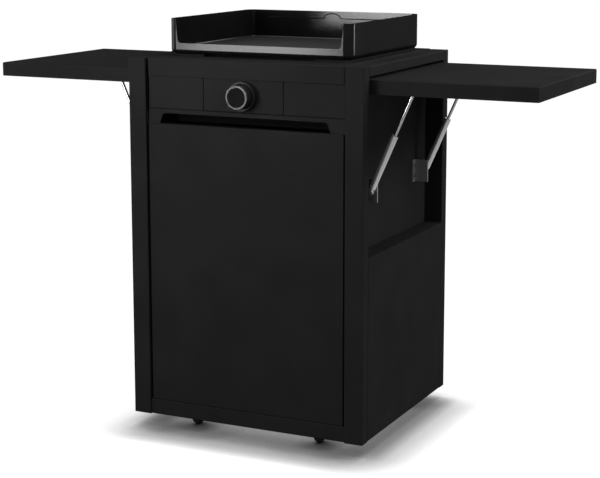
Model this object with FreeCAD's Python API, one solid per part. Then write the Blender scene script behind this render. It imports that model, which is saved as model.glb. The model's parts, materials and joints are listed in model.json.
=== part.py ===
import FreeCAD, Part
import math
import os

# Electric griddle on a wheeled cart with a door and two folding side shelves.
# Millimetres. +X to the right, -Y to the front, +Z up, origin on the floor under the middle.

Vector = FreeCAD.Vector
X_AXIS = Vector(1, 0, 0)
Y_AXIS = Vector(0, 1, 0)
Z_AXIS = Vector(0, 0, 1)
TINY = 1e-6
OVERCUT = 1.0

# Clearances of moving pieces
RUNNING_CLEARANCE = 0.05
MOVING_GAP = 0.3

# Cart frame
CART_WIDTH = 580.0
CART_DEPTH = 508.0
FRAME_HEIGHT = 830.0
POST_WIDTH = 44.0
POST_DEPTH = 30.0
TUBE_WALL = 1.5
TUBE_INNER_RADIUS = 1.0
FRONT_RAIL_HEIGHT = 36.0
SIDE_RAIL_HEIGHT = 26.0
SIDE_RAIL_WIDTH = 30.0
END_RAIL_DEPTH = 20.0
TOP_RAIL_HEIGHT = 23.0
FRONT_RECESS = 3.5

# Sheet panels
SHEET = 1.2
BEND_RADIUS = 2.0
PANEL_RETURN = 12.0
REAR_PANEL_RETURN = 8.0

# Worktop
WORKTOP_SHEET = 1.5
WORKTOP_RISE = 1.5
WORKTOP_BEND = 4.0
APRON_HEIGHT = 39.5
APRON_RETURN = 20.0
WORKTOP_LIP_RISE = 2.5
LEFT_SLIT = 6.5

# Fascia and handle rail
CONTROL_HEIGHT = 74.0
CONTROL_WIDTH = 197.4
PANEL_SEAM = 0.6
FASCIA_SHEET = 1.5
HANDLE_HEIGHT = 34.0
HANDLE_DEPTH = 45.0
HANDLE_BACK_GAP = 2.0
FINGER_SLOT_MARGIN = 34.0
FINGER_SLOT_TAPER = 9.0
HANDLE_FRONT_BAND = 10.0
FINGER_SLOT_RADIUS = 9.0
HANDLE_TAB_WIDTH = 10.0
HANDLE_TAB_GAP = 2.5

# Door
DOOR_SIDE_GAP = 4.0
DOOR_GAP = 0.5
DOOR_DEPTH = 20.0
DOOR_HINGE_INSET = 13.0
DOOR_PIN_RADIUS = 3.0
DOOR_PIN_GRIP = 12.0
DOOR_PIN_REACH = 8.0
HINGE_PLATE = 2.0
HINGE_PLATE_GAP = 0.7
HINGE_PLATE_DEPTH = 22.0
HINGE_PIN_MARGIN = 2.0
HINGE_TOP_GAP = 6.3
MAGNET_WIDTH = 40.0
MAGNET_DEPTH = 16.0
MAGNET_HEIGHT = 26.0
MAGNET_DROP = 120.0
MAGNET_GAP = 0.5
LINER_HOLE_RADIUS = 4.0
LINER_HOLE_INSET = 60.0

# Rear panel
VENT_ROWS = 8
VENT_SPACING = 16.0
VENT_LENGTH = 90.0
VENT_HEIGHT = 6.0
VENT_OFFSET = 110.0
VENT_TOP_MARGIN = 40.0
VENT_END_FLAT = 0.6
GLAND_OFFSET = 150.0
GLAND_DROP = 124.0
GLAND_RADIUS = 10.0
GLAND_FLANGE_RADIUS = 13.0
GLAND_FLANGE = 3.0
GLAND_NUT = 6.0
GLAND_BORE_RADIUS = 5.0

# Folding shelves
SHELF_REACH = 372.0
SHELF_THICKNESS = 32.0
SHELF_SIDE_GAP = 3.0
SHELF_TOP_GAP = 5.0
SHELF_SHEET = 1.5
SHELF_RADIUS = 3.0
SHELF_FLUSH_INSET = 0.5
SHELF_TAIL = 8.0
SHELF_SILL_GAP = 3.0
SHELF_BOLT_RADIUS = 3.0
SHELF_BOLT_SHOULDER = 1.0
SHELF_BOLT_HEAD_GAP = 0.5
SHELF_BOLT_HEAD = 3.0
SHELF_BOLT_GRIP = 10.0
RECESS_WALL_GAP = 0.5
RECESS_TOP_LIP = 7.0
FOLD_ANGLE = 90.0

# Struts
STRUT_SPACING = 328.0
STRUT_FOOT_INSET = 22.0
STRUT_FOOT_DROP = 248.0
STRUT_HEAD_REACH = 82.0
STRUT_HEAD_DROP = 20.0
STRUT_TUBE_RADIUS = 7.5
STRUT_END_GAP = 13.0
STRUT_TUBE_BORE = 5.5
STRUT_TUBE_START = 9.0
STRUT_CHAMBER_START = 18.0
STRUT_GUIDE_LENGTH = 8.0
STRUT_ROD_RADIUS = 3.5
STRUT_PISTON_LENGTH = 6.0
STRUT_PISTON_MARGIN = 4.0
STRUT_EYE_RADIUS = 6.5
STRUT_EYE_WIDTH = 8.0
STRUT_PIN_RADIUS = 3.0
STRUT_PIN_HEAD_RADIUS = 4.5
STRUT_PIN_HEAD = 2.0

# Strut brackets
BRACKET_STANDOFF = 10.0
BRACKET_PLATE = 3.0
BRACKET_EDGE = 12.0
BRACKET_HEIGHT = 52.0
BRACKET_PIN_HEIGHT = 24.0
BRACKET_FLANGE = 18.0
BRACKET_SCREW_INSET = 13.0
SHELF_BRACKET_MARGIN = 6.0
SHELF_PIN_CLEARANCE = 0.6
FOLD_STEPS = 45

# Machine screws
SCREW_RADIUS = 2.5
SCREW_HEAD_RADIUS = 4.2
SCREW_HEAD = 2.4
SCREW_GRIP = 3.0
SCREW_CLEARANCE = 0.15

# Griddle
PAN_SIDE_GAP = 62.0
PAN_REAR_GAP = 31.5
PAN_HEIGHT = 80.0
PAN_SETBACK = 73.5
PAN_WALL = 2.5
PAN_CORNER = 20.0
PAN_BOTTOM_RADIUS = 10.0
FRONT_WALL_HEIGHT = 24.5
WINDOW_LIP = 25.0
WINDOW_TAPER = 7.0
WINDOW_RADIUS = 8.0
PLATE_THICKNESS = 12.0
PLATE_GUTTER = 4.0
PLATE_CORNER = 10.0
PLATE_EDGE = 2.0

# Chassis under the pan
SPACER_HEIGHT = 4.0
SPACER_INSET = 9.4
SPACER_WIDTH = 18.0
SPACER_SLOT = 274.0
CHASSIS_SHEET = 1.2
CHASSIS_DROP = 61.5
CUTOUT_CLEARANCE = 1.0
REFLECTOR_DROP = 27.5
REFLECTOR_HEIGHT = 8.0

# Heating element
ELEMENT_RADIUS = 3.5
ELEMENT_SPACING = 90.0
ELEMENT_MARGIN = 22.0
ELEMENT_TURN_FLAT = 2.0
ELEMENT_PIN_MARGIN = 33.0
ELEMENT_PIN_BEND = 12.0
ELEMENT_HOLE_CLEARANCE = 1.0
CLAMP_WIDTH = 16.0
CLAMP_THICKNESS = 2.0
CLAMP_STUD_RADIUS = 3.0
CLAMP_OVERHANG = 15.0
CLAMP_COUNT = 3
CLAMP_SPACING = 80.0

# Thermostat and wiring
THERMOSTAT_SIZE = 42.0
THERMOSTAT_DEPTH = 35.0
SPINDLE_RADIUS = 3.0
SPINDLE_INSIDE = 24.0
SPINDLE_END_WALL = 11.0
SPINDLE_HOLE_CLEARANCE = 2.0
CAPILLARY_RADIUS = 1.0
CAPILLARY_BEND = 8.0
CAPILLARY_OFFSET = 12.0
CAPILLARY_RUN = 24.0
CAPILLARY_GAP = 3.0
BULB_CLEARANCE = 0.5
BULB_LENGTH = 70.0
BULB_START = 78.0
WIRE_RADIUS = 1.5
WIRE_BEND = 8.0
WIRE_OFFSET = 15.0
WIRE_RUN = 20.0
WIRE_SIDE_RUN = 60.0
WIRE_FLOOR_GAP = 6.0
WIRE_LAYER_GAP = 2.0
WIRE_END = 6.0
WIRE_PLUG_DROP = 2.0
WIRE_HOLE_CLEARANCE = 1.0
TERMINAL_LENGTH = 60.0
TERMINAL_DEPTH = 25.0
TERMINAL_HEIGHT = 20.0
TERMINAL_POLES = 3
TERMINAL_SCREW_RADIUS = 4.0
TERMINAL_SCREW_HEIGHT = 3.0
TERMINAL_BACK_GAP = 75.0

# Knob
KNOB_DEPTH = 33.0
KNOB_RADIUS = 27.5
KNOB_BACK_GAP = 1.0
KNOB_FACE_INSET = 0.4
KNOB_RING_STEP = 0.5
KNOB_RING_BEVEL = 1.2
KNOB_RING_FACE = 3.6
KNOB_RING_HEIGHT = 4.0
BEZEL_GAP = 1.5
BEZEL_WALL = 4.5
BEZEL_DEPTH = 12.0
BEZEL_EDGE = 2.0

# Casters
CASTER_HALF_SPAN = 157.0
CASTER_SWING_GAP = 0.5
CASTER_PLATE_SIZE = 50.0
CASTER_PLATE = 2.0
CASTER_SCREW_SPACING = 38.0
CASTER_TRAIL = 12.0
CASTER_STUD_RADIUS = 4.0
CASTER_STUD_HEAD_RADIUS = 6.5
CASTER_STUD_HEAD = 2.0
WHEEL_RADIUS = 20.0
WHEEL_WIDTH = 16.0
WHEEL_EDGE = 3.0
WHEEL_HUB_RADIUS = 9.0
WHEEL_HUB_DEPTH = 2.0
WHEEL_TOP_GAP = 2.5
FORK_RADIUS = 15.0
FORK_BRIDGE = 2.5
FORK_RACE_HEIGHT = 11.2
FORK_CHEEK_THICKNESS = 2.0
FORK_SIDE_GAP = 0.8
FORK_CHEEK_RADIUS = 7.0
AXLE_RADIUS = 3.0

# Places worked out from the sizes above
FORK_BRIDGE_Z = 2 * WHEEL_RADIUS + WHEEL_TOP_GAP
CASTER_PLATE_Z = FORK_BRIDGE_Z + FORK_RACE_HEIGHT + MOVING_GAP
SIDE_RAIL_TOP = CASTER_PLATE_Z + CASTER_PLATE
GROUND_CLEARANCE = SIDE_RAIL_TOP - SIDE_RAIL_HEIGHT
TUBE_RADIUS = TUBE_INNER_RADIUS + TUBE_WALL
HALF_WIDTH = CART_WIDTH / 2
KNOB_PROUD = KNOB_DEPTH - FRONT_RECESS
FRONT_Y = KNOB_PROUD - (CART_DEPTH + KNOB_PROUD) / 2
BACK_Y = FRONT_Y + CART_DEPTH
FRAME_TOP = GROUND_CLEARANCE + FRAME_HEIGHT
POST_INNER_X = HALF_WIDTH - POST_WIDTH
RECESS_FRONT_Y = FRONT_Y + POST_DEPTH
RECESS_BACK_Y = BACK_Y - POST_DEPTH
RECESS_MIDDLE_Y = (RECESS_FRONT_Y + RECESS_BACK_Y) / 2
RECESS_TOP = FRAME_TOP - TOP_RAIL_HEIGHT
PANEL_Y = FRONT_Y + FRONT_RECESS
REAR_PANEL_Y = BACK_Y - FRONT_RECESS
FRONT_RAIL_TOP = GROUND_CLEARANCE + FRONT_RAIL_HEIGHT
FASCIA_LEFT_X = LEFT_SLIT - POST_INNER_X
FASCIA_RIGHT_X = POST_INNER_X

WORKTOP_TOP = FRAME_TOP + WORKTOP_RISE
APRON_BOTTOM = WORKTOP_TOP - APRON_HEIGHT
CONTROL_BOTTOM = APRON_BOTTOM - CONTROL_HEIGHT
HANDLE_BOTTOM = CONTROL_BOTTOM - HANDLE_HEIGHT
WORKTOP_LIP_Z = RECESS_TOP + WORKTOP_LIP_RISE
KNOB_Z = (APRON_BOTTOM + CONTROL_BOTTOM) / 2

DOOR_HALF_WIDTH = POST_INNER_X - DOOR_SIDE_GAP
DOOR_BOTTOM = FRONT_RAIL_TOP + DOOR_GAP
DOOR_TOP = HANDLE_BOTTOM - DOOR_GAP
DOOR_BACK_Y = PANEL_Y + DOOR_DEPTH
DOOR_AXIS_X = DOOR_HINGE_INSET - DOOR_HALF_WIDTH
DOOR_AXIS_Y = PANEL_Y + DOOR_DEPTH / 2

VENT_TOP = APRON_BOTTOM - VENT_TOP_MARGIN
VENT_BOTTOM = VENT_TOP - (VENT_ROWS - 1) * VENT_SPACING - VENT_HEIGHT
GLAND_Z = VENT_BOTTOM - GLAND_DROP

SHELF_TOP = RECESS_TOP - SHELF_TOP_GAP
SHELF_BOTTOM = SHELF_TOP - SHELF_THICKNESS
SHELF_BOLT_HEAD_RADIUS = SHELF_BOLT_RADIUS + SHELF_BOLT_SHOULDER
SHELF_AXIS_DROP = SHELF_SHEET + SHELF_BOLT_HEAD_RADIUS + SHELF_BOLT_HEAD_GAP
SHELF_AXIS_X = HALF_WIDTH - SHELF_AXIS_DROP - SHELF_FLUSH_INSET
SHELF_AXIS_Z = SHELF_TOP - SHELF_AXIS_DROP
SHELF_END_X = HALF_WIDTH + SHELF_REACH
RECESS_SILL = SHELF_AXIS_Z - (SHELF_END_X - SHELF_AXIS_X) - SHELF_SILL_GAP

STRUT_FOOT_X = HALF_WIDTH - STRUT_FOOT_INSET
STRUT_FOOT_Z = SHELF_AXIS_Z - STRUT_FOOT_DROP
STRUT_HEAD_X = HALF_WIDTH + STRUT_HEAD_REACH
STRUT_HEAD_Z = SHELF_TOP - STRUT_HEAD_DROP
STRUT_FRONT_Y = RECESS_MIDDLE_Y - STRUT_SPACING / 2
STRUT_REAR_Y = RECESS_MIDDLE_Y + STRUT_SPACING / 2

PAN_BOTTOM = WORKTOP_TOP + SPACER_HEIGHT
PAN_TOP = PAN_BOTTOM + PAN_HEIGHT
PAN_FRONT_Y = FRONT_Y + PAN_SETBACK
PAN_BACK_Y = BACK_Y - PAN_REAR_GAP
PAN_HALF_WIDTH = HALF_WIDTH - PAN_SIDE_GAP
SPACER_HALF_WIDTH = PAN_HALF_WIDTH - SPACER_INSET
SPACER_FRONT_Y = PAN_FRONT_Y + SPACER_INSET / 2
SPACER_BACK_Y = PAN_BACK_Y - SPACER_INSET / 2
CHASSIS_HALF_WIDTH = SPACER_HALF_WIDTH - SPACER_WIDTH
CHASSIS_FRONT_Y = SPACER_FRONT_Y + SPACER_WIDTH
CHASSIS_BACK_Y = SPACER_BACK_Y - SPACER_WIDTH
CHASSIS_BOTTOM = WORKTOP_TOP - CHASSIS_DROP
CHASSIS_FLOOR = CHASSIS_BOTTOM + CHASSIS_SHEET
REFLECTOR_BOTTOM = PAN_BOTTOM - REFLECTOR_DROP
THERMOSTAT_BACK_Y = PANEL_Y + FASCIA_SHEET + THERMOSTAT_DEPTH
TERMINAL_BACK_Y = CHASSIS_BACK_Y - TERMINAL_BACK_GAP
TERMINAL_FRONT_Y = TERMINAL_BACK_Y - TERMINAL_DEPTH

LOWER_WIRE_Z = CHASSIS_BOTTOM + WIRE_FLOOR_GAP
UPPER_WIRE_Z = LOWER_WIRE_Z + 2 * WIRE_RADIUS + WIRE_LAYER_GAP
PLUG_Z = LOWER_WIRE_Z - 2 * WIRE_BEND - WIRE_PLUG_DROP
CAPILLARY_Z = REFLECTOR_BOTTOM + REFLECTOR_HEIGHT + CAPILLARY_RADIUS + CAPILLARY_GAP
ELEMENT_Z = PAN_BOTTOM - ELEMENT_RADIUS
ELEMENT_INNER_X = ELEMENT_SPACING / 2
ELEMENT_PIN_X = ELEMENT_INNER_X + ELEMENT_SPACING
ELEMENT_PIN_Y = CHASSIS_FRONT_Y + ELEMENT_PIN_MARGIN
ELEMENT_PIN_Z = UPPER_WIRE_Z + WIRE_BEND + WIRE_END

CASTER_SETBACK = FRONT_RECESS + END_RAIL_DEPTH + CASTER_TRAIL + WHEEL_RADIUS + CASTER_SWING_GAP
CASTER_Y = (FRONT_Y + CASTER_SETBACK, BACK_Y - CASTER_SETBACK)
KNOB_RING_BASE = KNOB_RADIUS - KNOB_RING_STEP
KNOB_RING_FRONT = KNOB_RING_BASE - KNOB_RING_BEVEL
KNOB_RING_BORE = KNOB_RING_FRONT - KNOB_RING_FACE
SPINDLE_OUTSIDE = KNOB_DEPTH - SPINDLE_END_WALL


# General shapes

def block(x0, x1, y0, y1, z0, z1):
    """Plain box between two corners."""
    return Part.makeBox(x1 - x0, y1 - y0, z1 - z0, Vector(x0, y0, z0))


def straight_edges(shape, axis):
    """Straight edges of a shape that run along an axis."""
    found = []
    for edge in shape.Edges:
        run = edge.Vertexes[-1].Point - edge.Vertexes[0].Point
        if run.Length > TINY and abs(abs(run.dot(axis)) - run.Length) < TINY:
            found.append(edge)
    return found


def rounded_bar(bounds, axis, radius):
    """Box with its four edges along one axis rounded."""
    bar = block(*bounds)
    return bar.makeFillet(radius, straight_edges(bar, axis))


def square_tube(bounds, axis, wall, radius, cap=0.0):
    """Rectangular tube along an axis, with its upper end closed by a cap where one is given."""
    outer = rounded_bar(bounds, axis, radius)
    inner = list(bounds)
    for index, direction in enumerate((X_AXIS, Y_AXIS, Z_AXIS)):
        low, high = 2 * index, 2 * index + 1
        along = abs(direction.dot(axis)) > TINY
        inner[low] += -OVERCUT if along else wall
        inner[high] += (-cap if cap else OVERCUT) if along else -wall
    return outer.cut(rounded_bar(inner, axis, radius - wall))


def fillet_away_from(shape, axis, place, radius):
    """Round every edge that does not lie in the plane at that place along the axis."""
    edges = []
    for edge in shape.Edges:
        if any(abs(vertex.Point.dot(axis) - place) > TINY for vertex in edge.Vertexes):
            edges.append(edge)
    return shape.makeFillet(radius, edges)


def tray(bounds, open_side, sheet, radius):
    """Folded sheet tray: five walls with rounded bends, open on the side of that index."""
    axis = (X_AXIS, Y_AXIS, Z_AXIS)[open_side // 2]
    outer = fillet_away_from(block(*bounds), axis, bounds[open_side], radius)
    inner = list(bounds)
    for side in range(len(bounds)):
        outward = 1 if side % 2 else -1
        inner[side] += outward * (OVERCUT if side == open_side else -sheet)
    hollow = block(*inner)
    if radius - sheet > TINY:
        hollow = fillet_away_from(hollow, axis, inner[open_side], radius - sheet)
    return outer.cut(hollow)


def cylinder(radius, base, direction, length):
    """Round bar from a base point along a direction."""
    return Part.makeCylinder(radius, length, base, direction)


def prism_along_y(points, y0, y1):
    """Solid with a polygon of (x, z) points as its section, between two places along Y."""
    corners = [Vector(x, y0, z) for x, z in points]
    outline = Part.makePolygon(corners + corners[:1])
    return Part.Face(outline).extrude(Vector(0, y1 - y0, 0))


def rounded_corners_at(shape, height, radius):
    """Round the edges along Y that lie at one height."""
    edges = [edge for edge in straight_edges(shape, Y_AXIS)
             if abs(edge.Vertexes[0].Point.z - height) < TINY]
    return shape.makeFillet(radius, edges)


def swept_tube(points, radius, bends):
    """Round tube along straight runs joined by tangent arcs, one bend radius for each inner point."""
    edges = []
    start = points[0]
    for before, corner, after, bend in zip(points, points[1:], points[2:], bends):
        back = (before - corner).normalize()
        ahead = (after - corner).normalize()
        half_turn = (math.pi - back.getAngle(ahead)) / 2
        bisector = (back + ahead).normalize()
        arc_start = corner + back * (bend * math.tan(half_turn))
        arc_middle = corner + bisector * (bend / math.cos(half_turn) - bend)
        arc_end = corner + ahead * (bend * math.tan(half_turn))
        edges.append(Part.LineSegment(start, arc_start).toShape())
        edges.append(Part.Arc(arc_start, arc_middle, arc_end).toShape())
        start = arc_end
    edges.append(Part.LineSegment(start, points[-1]).toShape())
    section = Part.Wire(Part.makeCircle(radius, points[0], points[1] - points[0]))
    return Part.Wire(edges).makePipeShell([section], True, False)


def even_bends(points, bend):
    """The same bend radius at every inner point of a route."""
    return [bend] * len(points[1:-1])


def mirrored(shape):
    """The same shape on the other side of the cart."""
    return shape.mirror(Vector(0, 0, 0), X_AXIS)


def joined(shapes):
    """One solid from shapes that overlap or meet."""
    return shapes[0].multiFuse(shapes[1:]).removeSplitter()


def group(solids):
    """Several separate solids in one node."""
    return Part.makeCompound(solids)


# Cart frame

def post(side, front):
    """Corner post, open below and capped on top, with the hole for a shelf bolt."""
    x0, x1 = sorted((side * POST_INNER_X, side * HALF_WIDTH))
    y0 = FRONT_Y if front else RECESS_BACK_Y
    bounds = (x0, x1, y0, y0 + POST_DEPTH, GROUND_CLEARANCE, FRAME_TOP)
    tube = square_tube(bounds, Z_AXIS, TUBE_WALL, TUBE_RADIUS, cap=TUBE_WALL)
    wall_y = RECESS_FRONT_Y - TUBE_WALL if front else RECESS_BACK_Y
    base = Vector(side * SHELF_AXIS_X, wall_y - OVERCUT, SHELF_AXIS_Z)
    return tube.cut(cylinder(SHELF_BOLT_RADIUS, base, Y_AXIS, TUBE_WALL + 2 * OVERCUT))


def front_bottom_rail():
    """Rail under the door, with the hole for the lower hinge pin."""
    bounds = (-POST_INNER_X, POST_INNER_X, PANEL_Y, PANEL_Y + END_RAIL_DEPTH,
              GROUND_CLEARANCE, FRONT_RAIL_TOP)
    rail = square_tube(bounds, X_AXIS, TUBE_WALL, TUBE_RADIUS)
    base = Vector(DOOR_AXIS_X, DOOR_AXIS_Y, FRONT_RAIL_TOP - TUBE_WALL - OVERCUT)
    radius = DOOR_PIN_RADIUS + RUNNING_CLEARANCE
    return rail.cut(cylinder(radius, base, Z_AXIS, TUBE_WALL + 2 * OVERCUT))


def base_rails():
    """Rear bottom rail and the two side bottom rails."""
    rear = square_tube((-POST_INNER_X, POST_INNER_X, REAR_PANEL_Y - END_RAIL_DEPTH, REAR_PANEL_Y,
                        GROUND_CLEARANCE, FRONT_RAIL_TOP), X_AXIS, TUBE_WALL, TUBE_RADIUS)
    right = square_tube((HALF_WIDTH - SIDE_RAIL_WIDTH, HALF_WIDTH, RECESS_FRONT_Y, RECESS_BACK_Y,
                         GROUND_CLEARANCE, SIDE_RAIL_TOP), Y_AXIS, TUBE_WALL, TUBE_RADIUS)
    return group([rear, right, mirrored(right)])


def side_top_rails():
    """Rails beside the worktop, above the folding shelves."""
    right = square_tube((POST_INNER_X, HALF_WIDTH, RECESS_FRONT_Y, RECESS_BACK_Y,
                         RECESS_TOP, FRAME_TOP), Y_AXIS, TUBE_WALL, TUBE_RADIUS)
    return group([right, mirrored(right)])


# Panels

def bottom_panel():
    """Cabinet floor on the side rails, between the front and rear rails."""
    z0, z1 = SIDE_RAIL_TOP, SIDE_RAIL_TOP + SHEET
    inner = block(-POST_INNER_X, POST_INNER_X, PANEL_Y + END_RAIL_DEPTH,
                  REAR_PANEL_Y - END_RAIL_DEPTH, z0, z1)
    overlap_x = HALF_WIDTH - PANEL_RETURN - PANEL_SEAM
    outer = block(-overlap_x, overlap_x, RECESS_FRONT_Y, RECESS_BACK_Y, z0, z1)
    panel = joined([inner, outer])
    return panel.cut(group(caster_screw_holes(z0, z1)))


def right_recess_panel():
    """Open-fronted box on the side of the cabinet into which the shelf folds."""
    back_x = POST_INNER_X - SHEET
    wall_x = SHELF_AXIS_X - SHELF_BOLT_RADIUS - RECESS_WALL_GAP
    y0, y1 = RECESS_FRONT_Y, RECESS_BACK_Y
    sill = RECESS_SILL - SHEET
    sheets = [
        block(back_x, POST_INNER_X, y0, y1, sill, RECESS_TOP),
        block(back_x, wall_x, y0, y0 + SHEET, sill, RECESS_TOP),
        block(back_x, wall_x, y1 - SHEET, y1, sill, RECESS_TOP),
        block(back_x, HALF_WIDTH, y0, y1, sill, RECESS_SILL),
        block(back_x, POST_INNER_X + RECESS_TOP_LIP, y0, y1, RECESS_TOP - SHEET, RECESS_TOP),
    ]
    holes = [bracket_screw(y, z, SCREW_CLEARANCE, False) for y, z in bracket_screw_places()]
    return joined(sheets).cut(group(holes))


def right_side_panel():
    """Lower side panel under the shelf recess."""
    bounds = (HALF_WIDTH - PANEL_RETURN, HALF_WIDTH, RECESS_FRONT_Y, RECESS_BACK_Y,
              SIDE_RAIL_TOP, RECESS_SILL - SHEET)
    return tray(bounds, 0, SHEET, BEND_RADIUS)


def vent_slots():
    """Rows of ventilation slots through the rear panel."""
    slots = []
    for row in range(VENT_ROWS):
        z1 = VENT_TOP - row * VENT_SPACING
        for middle in (-VENT_OFFSET, VENT_OFFSET):
            bounds = (middle - VENT_LENGTH / 2, middle + VENT_LENGTH / 2,
                      REAR_PANEL_Y - SHEET - OVERCUT, REAR_PANEL_Y + OVERCUT, z1 - VENT_HEIGHT, z1)
            slots.append(rounded_bar(bounds, Y_AXIS, (VENT_HEIGHT - VENT_END_FLAT) / 2))
    return slots


def rear_panel():
    """Back of the cabinet with ventilation slots and the hole for the cable gland."""
    bounds = (-POST_INNER_X, POST_INNER_X, REAR_PANEL_Y - REAR_PANEL_RETURN, REAR_PANEL_Y,
              FRONT_RAIL_TOP, APRON_BOTTOM)
    panel = tray(bounds, 2, SHEET, BEND_RADIUS)
    base = Vector(GLAND_OFFSET, REAR_PANEL_Y - SHEET - OVERCUT, GLAND_Z)
    hole = cylinder(GLAND_RADIUS, base, Y_AXIS, SHEET + 2 * OVERCUT)
    return panel.cut(group(vent_slots() + [hole]))


def cable_gland():
    """Round gland through the rear panel, with an open bore for a supply cord."""
    inside_y = REAR_PANEL_Y - SHEET
    flange = cylinder(GLAND_FLANGE_RADIUS, Vector(GLAND_OFFSET, REAR_PANEL_Y, GLAND_Z), Y_AXIS,
                      GLAND_FLANGE)
    barrel = cylinder(GLAND_RADIUS, Vector(GLAND_OFFSET, inside_y, GLAND_Z), Y_AXIS, SHEET)
    inner_end = Vector(GLAND_OFFSET, inside_y - GLAND_NUT, GLAND_Z)
    nut = cylinder(GLAND_FLANGE_RADIUS, inner_end, Y_AXIS, GLAND_NUT)
    bore = cylinder(GLAND_BORE_RADIUS, inner_end, Y_AXIS, GLAND_FLANGE + SHEET + GLAND_NUT)
    return joined([nut, barrel, flange]).cut(bore)


# Worktop, fascia and handle rail

def worktop():
    """Folded top with front and rear aprons, side flanges, and the cut-out for the griddle."""
    bounds = (FASCIA_LEFT_X, FASCIA_RIGHT_X, FRONT_Y, BACK_Y, APRON_BOTTOM, WORKTOP_TOP)
    shell = tray(bounds, 4, WORKTOP_SHEET, WORKTOP_BEND)
    inner_front = FRONT_Y + WORKTOP_BEND
    inner_back = BACK_Y - WORKTOP_BEND
    below_flanges = block(FASCIA_LEFT_X - OVERCUT, FASCIA_RIGHT_X + OVERCUT, inner_front, inner_back,
                          APRON_BOTTOM - OVERCUT, WORKTOP_LIP_Z)
    cutout = block(-CHASSIS_HALF_WIDTH - CUTOUT_CLEARANCE, CHASSIS_HALF_WIDTH + CUTOUT_CLEARANCE,
                   CHASSIS_FRONT_Y - CUTOUT_CLEARANCE, CHASSIS_BACK_Y + CUTOUT_CLEARANCE,
                   WORKTOP_TOP - WORKTOP_SHEET - OVERCUT, WORKTOP_TOP + OVERCUT)
    lip = block(-POST_INNER_X, FASCIA_LEFT_X + WORKTOP_SHEET, RECESS_FRONT_Y, RECESS_BACK_Y,
                WORKTOP_LIP_Z, WORKTOP_LIP_Z + WORKTOP_SHEET)
    return_x = (FASCIA_LEFT_X + WORKTOP_BEND, FASCIA_RIGHT_X - WORKTOP_BEND)
    return_z = (APRON_BOTTOM, APRON_BOTTOM + WORKTOP_SHEET)
    front_return = block(*return_x, FRONT_Y, FRONT_Y + APRON_RETURN, *return_z)
    rear_return = block(*return_x, BACK_Y - APRON_RETURN, BACK_Y, *return_z)
    return joined([shell.cut(below_flanges).cut(cutout), lip, front_return, rear_return])


def fascia_plate(x0, x1):
    """One folded panel of the fascia between two places along X."""
    bounds = (x0, x1, PANEL_Y, PANEL_Y + PANEL_RETURN, CONTROL_BOTTOM, APRON_BOTTOM)
    return tray(bounds, 3, FASCIA_SHEET, BEND_RADIUS)


def control_panel():
    """Middle panel of the fascia, with the hole for the thermostat spindle."""
    half = CONTROL_WIDTH / 2
    base = Vector(0, PANEL_Y - OVERCUT, KNOB_Z)
    hole = cylinder(SPINDLE_RADIUS + SPINDLE_HOLE_CLEARANCE, base, Y_AXIS, FASCIA_SHEET + 2 * OVERCUT)
    return fascia_plate(-half, half).cut(hole)


def fascia_fillers():
    """Blank panels left and right of the control panel."""
    seam = CONTROL_WIDTH / 2 + PANEL_SEAM
    return group([fascia_plate(FASCIA_LEFT_X, -seam), fascia_plate(seam, FASCIA_RIGHT_X)])


def handle_rail():
    """Channel over the door with a long finger slot in its front wall."""
    bounds = (FASCIA_LEFT_X, FASCIA_RIGHT_X, PANEL_Y, PANEL_Y + HANDLE_DEPTH,
              HANDLE_BOTTOM, CONTROL_BOTTOM)
    outer = block(*bounds)
    upper_edges = [edge for edge in straight_edges(outer, X_AXIS)
                   if edge.Vertexes[0].Point.z > HANDLE_BOTTOM + TINY]
    outer = outer.makeFillet(BEND_RADIUS, upper_edges)
    hollow = block(FASCIA_LEFT_X - OVERCUT, FASCIA_RIGHT_X + OVERCUT, PANEL_Y + FASCIA_SHEET,
                   PANEL_Y + HANDLE_DEPTH - FASCIA_SHEET, HANDLE_BOTTOM - OVERCUT,
                   CONTROL_BOTTOM - FASCIA_SHEET)
    back_gap = block(FASCIA_LEFT_X - OVERCUT, FASCIA_RIGHT_X + OVERCUT,
                     PANEL_Y + HANDLE_DEPTH - FASCIA_SHEET - OVERCUT, PANEL_Y + HANDLE_DEPTH + OVERCUT,
                     HANDLE_BOTTOM - OVERCUT, HANDLE_BOTTOM + HANDLE_BACK_GAP)
    slot_top = CONTROL_BOTTOM - HANDLE_FRONT_BAND
    wide = POST_INNER_X - FINGER_SLOT_MARGIN
    narrow = wide - FINGER_SLOT_TAPER
    outline = [(-wide, HANDLE_BOTTOM - OVERCUT), (wide, HANDLE_BOTTOM - OVERCUT),
               (narrow, slot_top), (-narrow, slot_top)]
    slot = prism_along_y(outline, PANEL_Y - OVERCUT, PANEL_Y + FASCIA_SHEET + OVERCUT)
    slot = rounded_corners_at(slot, slot_top, FINGER_SLOT_RADIUS)
    tab_y = RECESS_FRONT_Y - HANDLE_TAB_GAP
    tab = block(-POST_INNER_X, FASCIA_LEFT_X + FASCIA_SHEET, tab_y - HANDLE_TAB_WIDTH, tab_y,
                CONTROL_BOTTOM - FASCIA_SHEET, CONTROL_BOTTOM)
    behind_post = block(POST_INNER_X - SHEET - PANEL_SEAM, POST_INNER_X + OVERCUT, RECESS_FRONT_Y,
                        PANEL_Y + HANDLE_DEPTH + OVERCUT, HANDLE_BOTTOM - OVERCUT, CONTROL_BOTTOM + OVERCUT)
    channel = outer.cut(group([hollow, back_gap])).cut(slot).cut(behind_post)
    return joined([channel, tab])


# Door

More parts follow.
